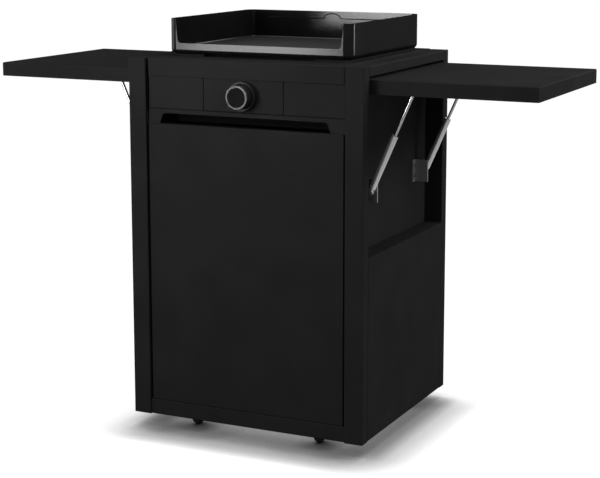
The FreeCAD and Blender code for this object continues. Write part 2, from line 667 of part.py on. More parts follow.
def door_panel():
    """Folded door front with holes for the hinge pins in its top and bottom walls."""
    bounds = (-DOOR_HALF_WIDTH, DOOR_HALF_WIDTH, PANEL_Y, DOOR_BACK_Y, DOOR_BOTTOM, DOOR_TOP)
    base = Vector(DOOR_AXIS_X, DOOR_AXIS_Y, DOOR_BOTTOM - OVERCUT)
    holes = cylinder(DOOR_PIN_RADIUS, base, Z_AXIS, DOOR_TOP - DOOR_BOTTOM + 2 * OVERCUT)
    return tray(bounds, 3, SHEET, BEND_RADIUS).cut(holes)


def door_liner():
    """Flat sheet that closes the back of the door, with two drain holes."""
    bounds = (SHEET - DOOR_HALF_WIDTH, DOOR_HALF_WIDTH - SHEET, DOOR_BACK_Y - SHEET, DOOR_BACK_Y,
              DOOR_BOTTOM + SHEET, DOOR_TOP - SHEET)
    sheet = rounded_bar(bounds, Y_AXIS, BEND_RADIUS)
    hole_z = DOOR_BOTTOM + LINER_HOLE_INSET
    hole_x = DOOR_HALF_WIDTH - LINER_HOLE_INSET
    hole_y = DOOR_BACK_Y - SHEET - OVERCUT
    holes = [cylinder(LINER_HOLE_RADIUS, Vector(x, hole_y, hole_z), Y_AXIS, SHEET + 2 * OVERCUT)
             for x in (-hole_x, hole_x)]
    return sheet.cut(group(holes))


def door_hinge_pins():
    """Upper and lower pins, fixed in the door."""
    length = DOOR_PIN_GRIP + DOOR_PIN_REACH
    upper = Vector(DOOR_AXIS_X, DOOR_AXIS_Y, DOOR_TOP - DOOR_PIN_GRIP)
    lower = Vector(DOOR_AXIS_X, DOOR_AXIS_Y, DOOR_BOTTOM - DOOR_PIN_REACH)
    return group([cylinder(DOOR_PIN_RADIUS, base, Z_AXIS, length) for base in (upper, lower)])


def door_hinge_bracket():
    """Angle on the left front post that holds the upper hinge pin."""
    x0 = -POST_INNER_X
    y0 = PANEL_Y + FASCIA_SHEET
    y1 = y0 + HINGE_PLATE_DEPTH
    z0 = DOOR_TOP + HINGE_PLATE_GAP
    x1 = DOOR_AXIS_X + DOOR_PIN_RADIUS + HINGE_PIN_MARGIN
    plate = block(x0, x1, y0, y1, z0, z0 + HINGE_PLATE)
    z1 = CONTROL_BOTTOM - FASCIA_SHEET - HINGE_TOP_GAP
    flange = block(x0, x0 + HINGE_PLATE, y0, y1, z0, z1)
    base = Vector(DOOR_AXIS_X, DOOR_AXIS_Y, z0 - OVERCUT)
    hole = cylinder(DOOR_PIN_RADIUS + RUNNING_CLEARANCE, base, Z_AXIS, HINGE_PLATE + 2 * OVERCUT)
    return joined([plate, flange]).cut(hole)


def door_magnet():
    """Magnetic catch on the inside of the cabinet wall, behind the free edge of the door."""
    x1 = POST_INNER_X - SHEET
    y0 = DOOR_BACK_Y + MAGNET_GAP
    z1 = DOOR_TOP - MAGNET_DROP
    return block(x1 - MAGNET_WIDTH, x1, y0, y0 + MAGNET_DEPTH, z1 - MAGNET_HEIGHT, z1)


# Folding shelves and their bolts

def right_shelf():
    """Folded sheet shelf, open below, with holes for its hinge bolts in the side walls."""
    y0 = RECESS_FRONT_Y + SHELF_SIDE_GAP
    y1 = RECESS_BACK_Y - SHELF_SIDE_GAP
    bounds = (SHELF_AXIS_X - SHELF_TAIL, SHELF_END_X, y0, y1, SHELF_BOTTOM, SHELF_TOP)
    base = Vector(SHELF_AXIS_X, y0 - OVERCUT, SHELF_AXIS_Z)
    holes = cylinder(SHELF_BOLT_RADIUS + RUNNING_CLEARANCE, base, Y_AXIS, y1 - y0 + 2 * OVERCUT)
    return tray(bounds, 4, SHELF_SHEET, SHELF_RADIUS).cut(holes)


def right_shelf_bolts():
    """Front and rear shoulder bolts, from inside the shelf into the posts."""
    reach = SHELF_SIDE_GAP + SHELF_RADIUS
    bolts = []
    for wall_y, inward in ((RECESS_FRONT_Y, 1), (RECESS_BACK_Y, -1)):
        start = Vector(SHELF_AXIS_X, wall_y - inward * SHELF_BOLT_GRIP, SHELF_AXIS_Z)
        head = Vector(SHELF_AXIS_X, wall_y + inward * reach, SHELF_AXIS_Z)
        along = Y_AXIS * inward
        shank = cylinder(SHELF_BOLT_RADIUS, start, along, SHELF_BOLT_GRIP + reach)
        bolts.append(joined([shank, cylinder(SHELF_BOLT_HEAD_RADIUS, head, along, SHELF_BOLT_HEAD)]))
    return bolts


# Struts: each has its foot on the recess panel and its head in a slot under the shelf

def strut_angle_and_length(head_x, head_z):
    """Lean from upright in degrees and length of a strut whose head is at that place."""
    dx = head_x - STRUT_FOOT_X
    dz = head_z - STRUT_FOOT_Z
    return math.degrees(math.atan2(dx, dz)), math.hypot(dx, dz)


def folded_head():
    """Place of the strut head when the shelf hangs down."""
    dx = STRUT_HEAD_X - SHELF_AXIS_X
    dz = STRUT_HEAD_Z - SHELF_AXIS_Z
    turn = math.radians(FOLD_ANGLE)
    x = SHELF_AXIS_X + dx * math.cos(turn) + dz * math.sin(turn)
    z = SHELF_AXIS_Z - dx * math.sin(turn) + dz * math.cos(turn)
    return x, z


OPEN_LEAN, OPEN_LENGTH = strut_angle_and_length(STRUT_HEAD_X, STRUT_HEAD_Z)
FOLDED_LEAN, FOLDED_LENGTH = strut_angle_and_length(*folded_head())
STRUT_TUBE_LENGTH = FOLDED_LENGTH - STRUT_EYE_RADIUS - STRUT_END_GAP


def head_path_on_shelf():
    """Places of the strut head on the open shelf while lean and length change evenly with the fold."""
    places = []
    for step in range(FOLD_STEPS + 1):
        share = step / FOLD_STEPS
        lean = math.radians(OPEN_LEAN + share * (FOLDED_LEAN - OPEN_LEAN))
        length = OPEN_LENGTH + share * (FOLDED_LENGTH - OPEN_LENGTH)
        dx = STRUT_FOOT_X + length * math.sin(lean) - SHELF_AXIS_X
        dz = STRUT_FOOT_Z + length * math.cos(lean) - SHELF_AXIS_Z
        turn = math.radians(share * FOLD_ANGLE)
        places.append((SHELF_AXIS_X + dx * math.cos(turn) - dz * math.sin(turn),
                       SHELF_AXIS_Z + dx * math.sin(turn) + dz * math.cos(turn)))
    return places


def placed_on_strut(shape, y):
    """Lean an upright shape, with its foot at the origin, into a strut's place on the right side."""
    shape.rotate(Vector(0, 0, 0), Y_AXIS, OPEN_LEAN)
    shape.translate(Vector(STRUT_FOOT_X, y, STRUT_FOOT_Z))
    return shape


def strut_eye(z):
    """Round eye across an upright strut."""
    return cylinder(STRUT_EYE_RADIUS, Vector(0, -STRUT_EYE_WIDTH / 2, z), Y_AXIS, STRUT_EYE_WIDTH)


def strut_tube(y):
    """Strut tube with its foot eye, a chamber for the piston and a guide for the rod."""
    outer = cylinder(STRUT_TUBE_RADIUS, Vector(0, 0, STRUT_TUBE_START), Z_AXIS,
                     STRUT_TUBE_LENGTH - STRUT_TUBE_START)
    neck_radius = STRUT_EYE_WIDTH / 2
    neck = cylinder(neck_radius, Vector(0, 0, 0), Z_AXIS, STRUT_TUBE_START + OVERCUT)
    chamber = cylinder(STRUT_TUBE_BORE, Vector(0, 0, STRUT_CHAMBER_START), Z_AXIS,
                       STRUT_TUBE_LENGTH - STRUT_GUIDE_LENGTH - STRUT_CHAMBER_START)
    guide = cylinder(STRUT_ROD_RADIUS + RUNNING_CLEARANCE, Vector(0, 0, STRUT_CHAMBER_START), Z_AXIS,
                     STRUT_TUBE_LENGTH)
    eye_bore = cylinder(STRUT_PIN_RADIUS + RUNNING_CLEARANCE, Vector(0, -STRUT_EYE_WIDTH, 0), Y_AXIS,
                        2 * STRUT_EYE_WIDTH)
    solid = joined([outer, neck, strut_eye(0)]).cut(eye_bore).cut(chamber).cut(guide)
    return placed_on_strut(solid, y)


def strut_rod(y, inward):
    """Strut rod with its piston, its head eye and the pin that rides in the shelf bracket."""
    piston_top = STRUT_TUBE_LENGTH - STRUT_GUIDE_LENGTH - STRUT_PISTON_MARGIN
    piston_bottom = piston_top - STRUT_PISTON_LENGTH
    piston = cylinder(STRUT_TUBE_BORE - RUNNING_CLEARANCE, Vector(0, 0, piston_bottom), Z_AXIS,
                      STRUT_PISTON_LENGTH)
    shank = cylinder(STRUT_ROD_RADIUS, Vector(0, 0, piston_bottom), Z_AXIS, OPEN_LENGTH - piston_bottom)
    pin_length = BRACKET_STANDOFF + BRACKET_PLATE + MOVING_GAP
    pin = cylinder(STRUT_PIN_RADIUS, Vector(0, 0, OPEN_LENGTH), Y_AXIS * inward, pin_length)
    return placed_on_strut(joined([shank, piston, strut_eye(OPEN_LENGTH), pin]), y)


def bracket_plates():
    """Y places (low, high) and inward direction of the plates beside the front and rear struts."""
    plates = []
    for strut_y, inward in ((STRUT_FRONT_Y, 1), (STRUT_REAR_Y, -1)):
        near = strut_y + inward * BRACKET_STANDOFF
        far = near + inward * BRACKET_PLATE
        plates.append((near, far, inward))
    return plates


def wall_bracket(near, far, inward):
    """Angle bracket on the recess panel with the pin on which a strut's foot turns."""
    flange_end = far + inward * (BRACKET_FLANGE - BRACKET_PLATE)
    plate_y = sorted((near, far))
    flange_y = sorted((near, flange_end))
    z0 = STRUT_FOOT_Z - BRACKET_PIN_HEIGHT
    z1 = z0 + BRACKET_HEIGHT
    plate = block(POST_INNER_X, STRUT_FOOT_X + BRACKET_EDGE, *plate_y, z0, z1)
    flange = block(POST_INNER_X, POST_INNER_X + BRACKET_PLATE, *flange_y, z0, z1)
    outward = Y_AXIS * -inward
    pin_length = BRACKET_STANDOFF + STRUT_EYE_WIDTH / 2 + MOVING_GAP
    foot = Vector(STRUT_FOOT_X, near, STRUT_FOOT_Z)
    pin = cylinder(STRUT_PIN_RADIUS, foot, outward, pin_length)
    collar_length = BRACKET_STANDOFF - STRUT_EYE_WIDTH / 2 - MOVING_GAP
    collar = cylinder(STRUT_PIN_HEAD_RADIUS, foot, outward, collar_length)
    head = cylinder(STRUT_PIN_HEAD_RADIUS, foot + outward * pin_length, outward, STRUT_PIN_HEAD)
    holes = [bracket_screw(y, z, SCREW_CLEARANCE, False) for y, z in bracket_screw_places()]
    return joined([plate, flange, pin, collar, head]).cut(group(holes))


def bracket_screw_places():
    """Y and Z places of the screws that hold the wall brackets."""
    places = []
    for near, far, inward in bracket_plates():
        y = far + inward * (BRACKET_FLANGE - BRACKET_PLATE) / 2
        z0 = STRUT_FOOT_Z - BRACKET_PIN_HEIGHT
        for z in (z0 + BRACKET_SCREW_INSET, z0 + BRACKET_HEIGHT - BRACKET_SCREW_INSET):
            places.append((y, z))
    return places


def bracket_screw(y, z, clearance, with_head):
    """Screw across the recess panel and a wall bracket, or the hole for it."""
    seat = Vector(POST_INNER_X + BRACKET_PLATE, y, z)
    inward = X_AXIS * -1
    shank = cylinder(SCREW_RADIUS + clearance, seat, inward, BRACKET_PLATE + SHEET + SCREW_GRIP)
    if not with_head:
        return shank
    return joined([shank, cylinder(SCREW_HEAD_RADIUS, seat, X_AXIS, SCREW_HEAD)])


def shelf_bracket(near, far, inward):
    """Angle bracket under the shelf, with the slot along which the strut's head pin runs."""
    places = head_path_on_shelf()
    room = STRUT_PIN_RADIUS + SHELF_PIN_CLEARANCE
    slot_x = (min(x for x, z in places) - room, max(x for x, z in places) + room)
    slot_z = (min(z for x, z in places) - room, max(z for x, z in places) + room)
    underside = SHELF_TOP - SHELF_SHEET
    x0, x1 = slot_x[0] - SHELF_BRACKET_MARGIN, slot_x[1] + SHELF_BRACKET_MARGIN
    plate_y = sorted((near, far))
    flange_y = sorted((near, far + inward * (BRACKET_FLANGE - BRACKET_PLATE)))
    plate = block(x0, x1, *plate_y, slot_z[0] - SHELF_BRACKET_MARGIN, underside)
    flange = block(x0, x1, *flange_y, underside - BRACKET_PLATE, underside)
    slot = rounded_bar((*slot_x, plate_y[0] - OVERCUT, plate_y[1] + OVERCUT, *slot_z), Y_AXIS,
                       STRUT_PIN_RADIUS)
    return joined([plate, flange]).cut(slot)


# Griddle

def griddle_pan():
    """Enamelled pan: three high splash walls and a low front wall between two lips."""
    def shell(inset):
        bounds = (inset - PAN_HALF_WIDTH, PAN_HALF_WIDTH - inset, PAN_FRONT_Y + inset,
                  PAN_BACK_Y - inset, PAN_BOTTOM + inset, PAN_TOP + OVERCUT * bool(inset))
        solid = rounded_bar(bounds, Z_AXIS, PAN_CORNER - inset)
        bottom = [edge for edge in solid.Edges
                  if all(abs(vertex.Point.z - bounds[4]) < TINY for vertex in edge.Vertexes)]
        return solid.makeFillet(PAN_BOTTOM_RADIUS - inset, bottom)

    sill = PAN_BOTTOM + FRONT_WALL_HEIGHT
    narrow = PAN_HALF_WIDTH - WINDOW_LIP
    wide = narrow + WINDOW_TAPER
    outline = [(-narrow, sill), (narrow, sill), (wide, PAN_TOP + OVERCUT), (-wide, PAN_TOP + OVERCUT)]
    window = prism_along_y(outline, PAN_FRONT_Y - OVERCUT, PAN_FRONT_Y + PAN_CORNER)
    window = rounded_corners_at(window, sill, WINDOW_RADIUS)
    return shell(0.0).cut(shell(PAN_WALL)).cut(window)


def cooking_plate():
    """Thick plate on the flat floor of the pan, with a gutter round it."""
    inset = PAN_BOTTOM_RADIUS + PLATE_GUTTER
    z0 = PAN_BOTTOM + PAN_WALL
    z1 = z0 + PLATE_THICKNESS
    bounds = (inset - PAN_HALF_WIDTH, PAN_HALF_WIDTH - inset, PAN_FRONT_Y + inset,
              PAN_BACK_Y - inset, z0, z1)
    plate = rounded_bar(bounds, Z_AXIS, PLATE_CORNER)
    rim = [edge for edge in plate.Edges
           if all(abs(vertex.Point.z - z1) < TINY for vertex in edge.Vertexes)]
    return plate.makeFillet(PLATE_EDGE, rim)


def wire_hole(x, z, radius):
    """Hole for a lead or capillary through the chassis front wall."""
    base = Vector(x, CHASSIS_FRONT_Y - OVERCUT, z)
    return cylinder(radius, base, Y_AXIS, CHASSIS_SHEET + 2 * OVERCUT)


def griddle_chassis():
    """Box under the worktop with the spacer frame that carries the pan."""
    box = tray((-CHASSIS_HALF_WIDTH, CHASSIS_HALF_WIDTH, CHASSIS_FRONT_Y, CHASSIS_BACK_Y,
                CHASSIS_BOTTOM, PAN_BOTTOM), 5, CHASSIS_SHEET, BEND_RADIUS)
    frame = block(-SPACER_HALF_WIDTH, SPACER_HALF_WIDTH, SPACER_FRONT_Y, SPACER_BACK_Y,
                  WORKTOP_TOP, PAN_BOTTOM)
    inside = block(CHASSIS_SHEET - CHASSIS_HALF_WIDTH, CHASSIS_HALF_WIDTH - CHASSIS_SHEET,
                   CHASSIS_FRONT_Y + CHASSIS_SHEET, CHASSIS_BACK_Y - CHASSIS_SHEET,
                   WORKTOP_TOP - OVERCUT, PAN_BOTTOM + OVERCUT)
    slot = block(-SPACER_SLOT / 2, SPACER_SLOT / 2, SPACER_FRONT_Y - OVERCUT, CHASSIS_FRONT_Y,
                 WORKTOP_TOP - OVERCUT, PAN_BOTTOM + OVERCUT)
    wire_radius = WIRE_RADIUS + WIRE_HOLE_CLEARANCE
    holes = [wire_hole(CAPILLARY_OFFSET, CAPILLARY_Z, CAPILLARY_RADIUS + WIRE_HOLE_CLEARANCE),
             wire_hole(WIRE_OFFSET, UPPER_WIRE_Z, wire_radius),
             wire_hole(-WIRE_OFFSET, LOWER_WIRE_Z, wire_radius)]
    return joined([box, frame.cut(group([inside, slot]))]).cut(group(holes))


def heating_element():
    """Tubular element in four runs under the pan, with its two ends turned down."""
    front = CHASSIS_FRONT_Y + ELEMENT_MARGIN
    back = CHASSIS_BACK_Y - ELEMENT_MARGIN
    outer, inner = ELEMENT_PIN_X, ELEMENT_INNER_X
    left_half = [Vector(-outer, ELEMENT_PIN_Y, ELEMENT_PIN_Z), Vector(-outer, ELEMENT_PIN_Y, ELEMENT_Z),
                 Vector(-outer, back, ELEMENT_Z), Vector(-inner, back, ELEMENT_Z),
                 Vector(-inner, front, ELEMENT_Z)]
    right_half = [Vector(-point.x, point.y, point.z) for point in reversed(left_half)]
    points = left_half + right_half
    bends = even_bends(points, (ELEMENT_SPACING - ELEMENT_TURN_FLAT) / 2)
    bends[0] = ELEMENT_PIN_BEND
    bends[-1] = ELEMENT_PIN_BEND
    return swept_tube(points, ELEMENT_RADIUS, bends)


def element_clamps():
    """Straps under the element, hung on studs from the pan."""
    strap_top = PAN_BOTTOM - 2 * ELEMENT_RADIUS
    reach = ELEMENT_PIN_X + CLAMP_OVERHANG
    middle_y = (CHASSIS_FRONT_Y + CHASSIS_BACK_Y) / 2
    clamps = []
    for index in range(CLAMP_COUNT):
        y = middle_y + (index - (CLAMP_COUNT - 1) / 2) * CLAMP_SPACING
        pieces = [block(-reach, reach, y - CLAMP_WIDTH / 2, y + CLAMP_WIDTH / 2,
                        strap_top - CLAMP_THICKNESS, strap_top)]
        for x in (-ELEMENT_SPACING, ELEMENT_SPACING):
            stud = Vector(x, y, strap_top - CLAMP_THICKNESS)
            pieces.append(cylinder(CLAMP_STUD_RADIUS, stud, Z_AXIS, CLAMP_THICKNESS + 2 * ELEMENT_RADIUS))
        clamps.append(joined(pieces))
    return group(clamps)


def heat_reflector():
    """Bright sheet tray under the element, held between the chassis walls."""
    bounds = (CHASSIS_SHEET - CHASSIS_HALF_WIDTH, CHASSIS_HALF_WIDTH - CHASSIS_SHEET,
              CHASSIS_FRONT_Y + CHASSIS_SHEET, CHASSIS_BACK_Y - CHASSIS_SHEET,
              REFLECTOR_BOTTOM, REFLECTOR_BOTTOM + REFLECTOR_HEIGHT)
    sheet = tray(bounds, 5, CHASSIS_SHEET, BEND_RADIUS)
    radius = ELEMENT_RADIUS + ELEMENT_HOLE_CLEARANCE
    holes = [cylinder(radius, Vector(x, ELEMENT_PIN_Y, REFLECTOR_BOTTOM - OVERCUT), Z_AXIS, REFLECTOR_HEIGHT)
             for x in (-ELEMENT_PIN_X, ELEMENT_PIN_X)]
    return sheet.cut(group(holes))


# Thermostat, sensor and wiring

def thermostat():
    """Thermostat body on the back of the control panel, bored for its spindle."""
    half = THERMOSTAT_SIZE / 2
    y0 = PANEL_Y + FASCIA_SHEET
    bounds = (-half, half, y0, THERMOSTAT_BACK_Y, KNOB_Z - half, KNOB_Z + half)
    body = rounded_bar(bounds, Y_AXIS, BEND_RADIUS)
    base = Vector(0, y0 - OVERCUT, KNOB_Z)
    return body.cut(cylinder(SPINDLE_RADIUS + RUNNING_CLEARANCE, base, Y_AXIS, SPINDLE_INSIDE + 2 * OVERCUT))


def sensor_capillary():
    """Capillary from the thermostat to the sensor bulb that lies against the pan."""
    x = CAPILLARY_OFFSET
    start_z = KNOB_Z + CAPILLARY_OFFSET
    bulb_radius = ELEMENT_RADIUS - BULB_CLEARANCE
    bulb_z = PAN_BOTTOM - bulb_radius
    rise_y = THERMOSTAT_BACK_Y + CAPILLARY_RUN
    bulb_y = CHASSIS_FRONT_Y + BULB_START
    points = [Vector(x, THERMOSTAT_BACK_Y, start_z), Vector(x, rise_y, start_z),
              Vector(x, rise_y, CAPILLARY_Z), Vector(x, bulb_y - 2 * CAPILLARY_RUN, CAPILLARY_Z),
              Vector(x, bulb_y - CAPILLARY_RUN, bulb_z), Vector(x, bulb_y, bulb_z)]
    tube = swept_tube(points, CAPILLARY_RADIUS, even_bends(points, CAPILLARY_BEND))
    return joined([tube, cylinder(bulb_radius, points[-1], Y_AXIS, BULB_LENGTH)])


def terminal_block():
    """Terminal block on the chassis floor."""
    base = rounded_bar((-TERMINAL_LENGTH / 2, TERMINAL_LENGTH / 2, TERMINAL_FRONT_Y, TERMINAL_BACK_Y,
                        CHASSIS_FLOOR, CHASSIS_FLOOR + TERMINAL_HEIGHT), Z_AXIS, BEND_RADIUS)
    pitch = TERMINAL_LENGTH / TERMINAL_POLES
    screws = []
    for pole in range(TERMINAL_POLES):
        x = (pole - (TERMINAL_POLES - 1) / 2) * pitch
        top = Vector(x, (TERMINAL_FRONT_Y + TERMINAL_BACK_Y) / 2, CHASSIS_FLOOR + TERMINAL_HEIGHT)
        screws.append(cylinder(TERMINAL_SCREW_RADIUS, top, Z_AXIS, TERMINAL_SCREW_HEIGHT))
    return joined([base] + screws)


def wiring():
    """Leads from the terminal block to the element and the thermostat, and between those two."""
    turn_y = THERMOSTAT_BACK_Y + WIRE_RUN
    pin = Vector(ELEMENT_PIN_X, ELEMENT_PIN_Y, ELEMENT_PIN_Z)
    side_y = ELEMENT_PIN_Y + WIRE_SIDE_RUN
    to_element = [Vector(-WIRE_OFFSET, TERMINAL_FRONT_Y, UPPER_WIRE_Z),
                  Vector(-WIRE_OFFSET, side_y, UPPER_WIRE_Z), Vector(-pin.x, side_y, UPPER_WIRE_Z),
                  Vector(-pin.x, pin.y, UPPER_WIRE_Z), Vector(-pin.x, pin.y, pin.z)]
    to_thermostat = [Vector(WIRE_OFFSET, TERMINAL_FRONT_Y, UPPER_WIRE_Z),
                     Vector(WIRE_OFFSET, turn_y, UPPER_WIRE_Z), Vector(WIRE_OFFSET, turn_y, PLUG_Z),
                     Vector(WIRE_OFFSET, THERMOSTAT_BACK_Y, PLUG_Z)]
    between = [Vector(-WIRE_OFFSET, THERMOSTAT_BACK_Y, PLUG_Z), Vector(-WIRE_OFFSET, turn_y, PLUG_Z),
               Vector(-WIRE_OFFSET, turn_y, LOWER_WIRE_Z), Vector(-WIRE_OFFSET, side_y, LOWER_WIRE_Z),
               Vector(pin.x, side_y, LOWER_WIRE_Z), Vector(pin.x, pin.y, LOWER_WIRE_Z), pin]
    return group([swept_tube(points, WIRE_RADIUS, even_bends(points, WIRE_BEND))
                  for points in (to_element, to_thermostat, between)])


# Knob

def ahead_of_panel(distance):
    """Point on the knob's axis, that far in front of the control panel."""
    return Vector(0, PANEL_Y - distance, KNOB_Z)


def knob_bezel():
    """Fixed ring round the root of the knob."""
    bore = KNOB_RADIUS + BEZEL_GAP
    outward = Y_AXIS * -1
    ring = cylinder(bore + BEZEL_WALL, ahead_of_panel(0), outward, BEZEL_DEPTH)
    front_y = PANEL_Y - BEZEL_DEPTH
    rim = [edge for edge in ring.Edges
           if all(abs(vertex.Point.y - front_y) < TINY for vertex in edge.Vertexes)]
    ring = ring.makeFillet(BEZEL_EDGE, rim)
    return ring.cut(cylinder(bore, ahead_of_panel(-OVERCUT), outward, BEZEL_DEPTH + 2 * OVERCUT))


def knob():
    """Turning knob with a boss that fills its front ring, bored for the spindle."""
    outward = Y_AXIS * -1
    body_front = KNOB_DEPTH - KNOB_RING_HEIGHT
    body = cylinder(KNOB_RADIUS, ahead_of_panel(KNOB_BACK_GAP), outward, body_front - KNOB_BACK_GAP)
    boss = cylinder(KNOB_RING_BORE, ahead_of_panel(body_front), outward, KNOB_RING_HEIGHT - KNOB_FACE_INSET)
    bore = cylinder(SPINDLE_RADIUS, ahead_of_panel(0), outward, SPINDLE_OUTSIDE)
    return joined([body, boss]).cut(bore)


def knob_ring():
    """Bright bevelled ring on the front edge of the knob."""
    outward = Y_AXIS * -1
    base = ahead_of_panel(KNOB_DEPTH - KNOB_RING_HEIGHT)
    cone = Part.makeCone(KNOB_RING_BASE, KNOB_RING_FRONT, KNOB_RING_HEIGHT, base, outward)
    return cone.cut(cylinder(KNOB_RING_BORE, base, outward, KNOB_RING_HEIGHT))


def knob_spindle():
    """Spindle from inside the thermostat to inside the knob."""
    start = PANEL_Y + FASCIA_SHEET + SPINDLE_INSIDE
    length = start - (PANEL_Y - SPINDLE_OUTSIDE)
    return cylinder(SPINDLE_RADIUS, Vector(0, start, KNOB_Z), Y_AXIS * -1, length)


# Casters

def caster_places():
    """Names and swivel axes of the four casters."""
    places = []
    for row, y in zip(("front", "rear"), CASTER_Y):
        for side, x in (("left", -CASTER_HALF_SPAN), ("right", CASTER_HALF_SPAN)):
            places.append((f"{row}_{side}", x, y))
    return places


def caster_screw_places():
    """X and Y places of the screws that hold the caster plates."""
    half = CASTER_SCREW_SPACING / 2
    corners = [(dx, dy) for dx in (-half, half) for dy in (-half, half)]
    return [(x + dx, y + dy) for name, x, y in caster_places() for dx, dy in corners]


def caster_screw_holes(z0, z1):
    """Holes for the caster screws through a sheet between two heights."""
    radius = SCREW_RADIUS + SCREW_CLEARANCE
    length = z1 - z0 + 2 * OVERCUT
    return [cylinder(radius, Vector(x, y, z0 - OVERCUT), Z_AXIS, length) for x, y in caster_screw_places()]


def caster_plate(x, y):
    """Square plate with the stud on which the fork swivels."""
    half = CASTER_PLATE_SIZE / 2
    z0, z1 = CASTER_PLATE_Z, CASTER_PLATE_Z + CASTER_PLATE
    plate = rounded_bar((x - half, x + half, y - half, y + half, z0, z1), Z_AXIS, TUBE_RADIUS)
    head_top = FORK_BRIDGE_Z - MOVING_GAP
    stud = cylinder(CASTER_STUD_RADIUS, Vector(x, y, head_top), Z_AXIS, z0 - head_top)
    head_base = Vector(x, y, head_top - CASTER_STUD_HEAD)
    head = cylinder(CASTER_STUD_HEAD_RADIUS, head_base, Z_AXIS, CASTER_STUD_HEAD)
    return joined([plate, stud, head]).cut(group(caster_screw_holes(z0, z1)))


def caster_fork(x, y):
    """Swivel fork and, as a second solid, the axle that crosses it."""
    axle = Vector(x, y + CASTER_TRAIL, WHEEL_RADIUS)
    inner = WHEEL_WIDTH / 2 + FORK_SIDE_GAP
    outer = inner + FORK_CHEEK_THICKNESS
    bridge_top = FORK_BRIDGE_Z + FORK_BRIDGE
    race = cylinder(FORK_RADIUS, Vector(x, y, FORK_BRIDGE_Z), Z_AXIS,
                    CASTER_PLATE_Z - MOVING_GAP - FORK_BRIDGE_Z)
    pieces = [race]
    top_edge = math.sqrt(FORK_RADIUS ** 2 - outer ** 2)
    foot_front, foot_back = axle.y - FORK_CHEEK_RADIUS, axle.y + FORK_CHEEK_RADIUS
    outline = [(y - top_edge, bridge_top), (y - top_edge, FORK_BRIDGE_Z), (foot_front, axle.z),
               (foot_back, axle.z), (foot_back, FORK_BRIDGE_Z), (y + top_edge, bridge_top)]
    for x0 in (x - outer, x + inner):
        corners = [Vector(x0, corner_y, corner_z) for corner_y, corner_z in outline]
        cheek = Part.Face(Part.makePolygon(corners + corners[:1])).extrude(X_AXIS * FORK_CHEEK_THICKNESS)
        foot = cylinder(FORK_CHEEK_RADIUS, Vector(x0, axle.y, axle.z), X_AXIS, FORK_CHEEK_THICKNESS)
        pieces += [cheek, foot]
    stud_base = Vector(x, y, FORK_BRIDGE_Z - OVERCUT)
    stud_length = CASTER_PLATE_Z - FORK_BRIDGE_Z + OVERCUT
    stud_bore = cylinder(CASTER_STUD_RADIUS + RUNNING_CLEARANCE, stud_base, Z_AXIS, stud_length)
    axle_start = Vector(x - outer, axle.y, axle.z)
    axle_bar = cylinder(AXLE_RADIUS, axle_start, X_AXIS, 2 * outer)
    return group([joined(pieces).cut(stud_bore).cut(axle_bar), axle_bar])


def caster_wheel(x, y):
    """Wheel with a rounded tread and a dished hub on each face."""
    axle_y = y + CASTER_TRAIL
    start = Vector(x - WHEEL_WIDTH / 2, axle_y, WHEEL_RADIUS)
    tread = cylinder(WHEEL_RADIUS, start, X_AXIS, WHEEL_WIDTH)
    rims = [edge for edge in tread.Edges if edge.Closed]
    tread = tread.makeFillet(WHEEL_EDGE, rims)
    bore = cylinder(AXLE_RADIUS + RUNNING_CLEARANCE, start, X_AXIS, WHEEL_WIDTH)
    dish_radius = WHEEL_RADIUS - 2 * WHEEL_EDGE
    cuts = [bore]
    for base, inward in ((start, X_AXIS), (start + X_AXIS * WHEEL_WIDTH, X_AXIS * -1)):
        dish = cylinder(dish_radius, base, inward, WHEEL_HUB_DEPTH)
        cuts.append(dish.cut(cylinder(WHEEL_HUB_RADIUS, base, inward, WHEEL_HUB_DEPTH)))
    return tread.cut(group(cuts))


def machine_screws():
    """Screws of the strut wall brackets and of the caster plates."""
    right = [bracket_screw(y, z, 0.0, True) for y, z in bracket_screw_places()]
    screws = right + [mirrored(screw) for screw in right]
    length = CASTER_PLATE + SHEET + SCREW_GRIP
    for x, y in caster_screw_places():
        seat = Vector(x, y, CASTER_PLATE_Z)
        head = cylinder(SCREW_HEAD_RADIUS, seat, Z_AXIS * -1, SCREW_HEAD)
        screws.append(joined([cylinder(SCREW_RADIUS, seat, Z_AXIS, length), head]))
    return group(screws)


# All nodes

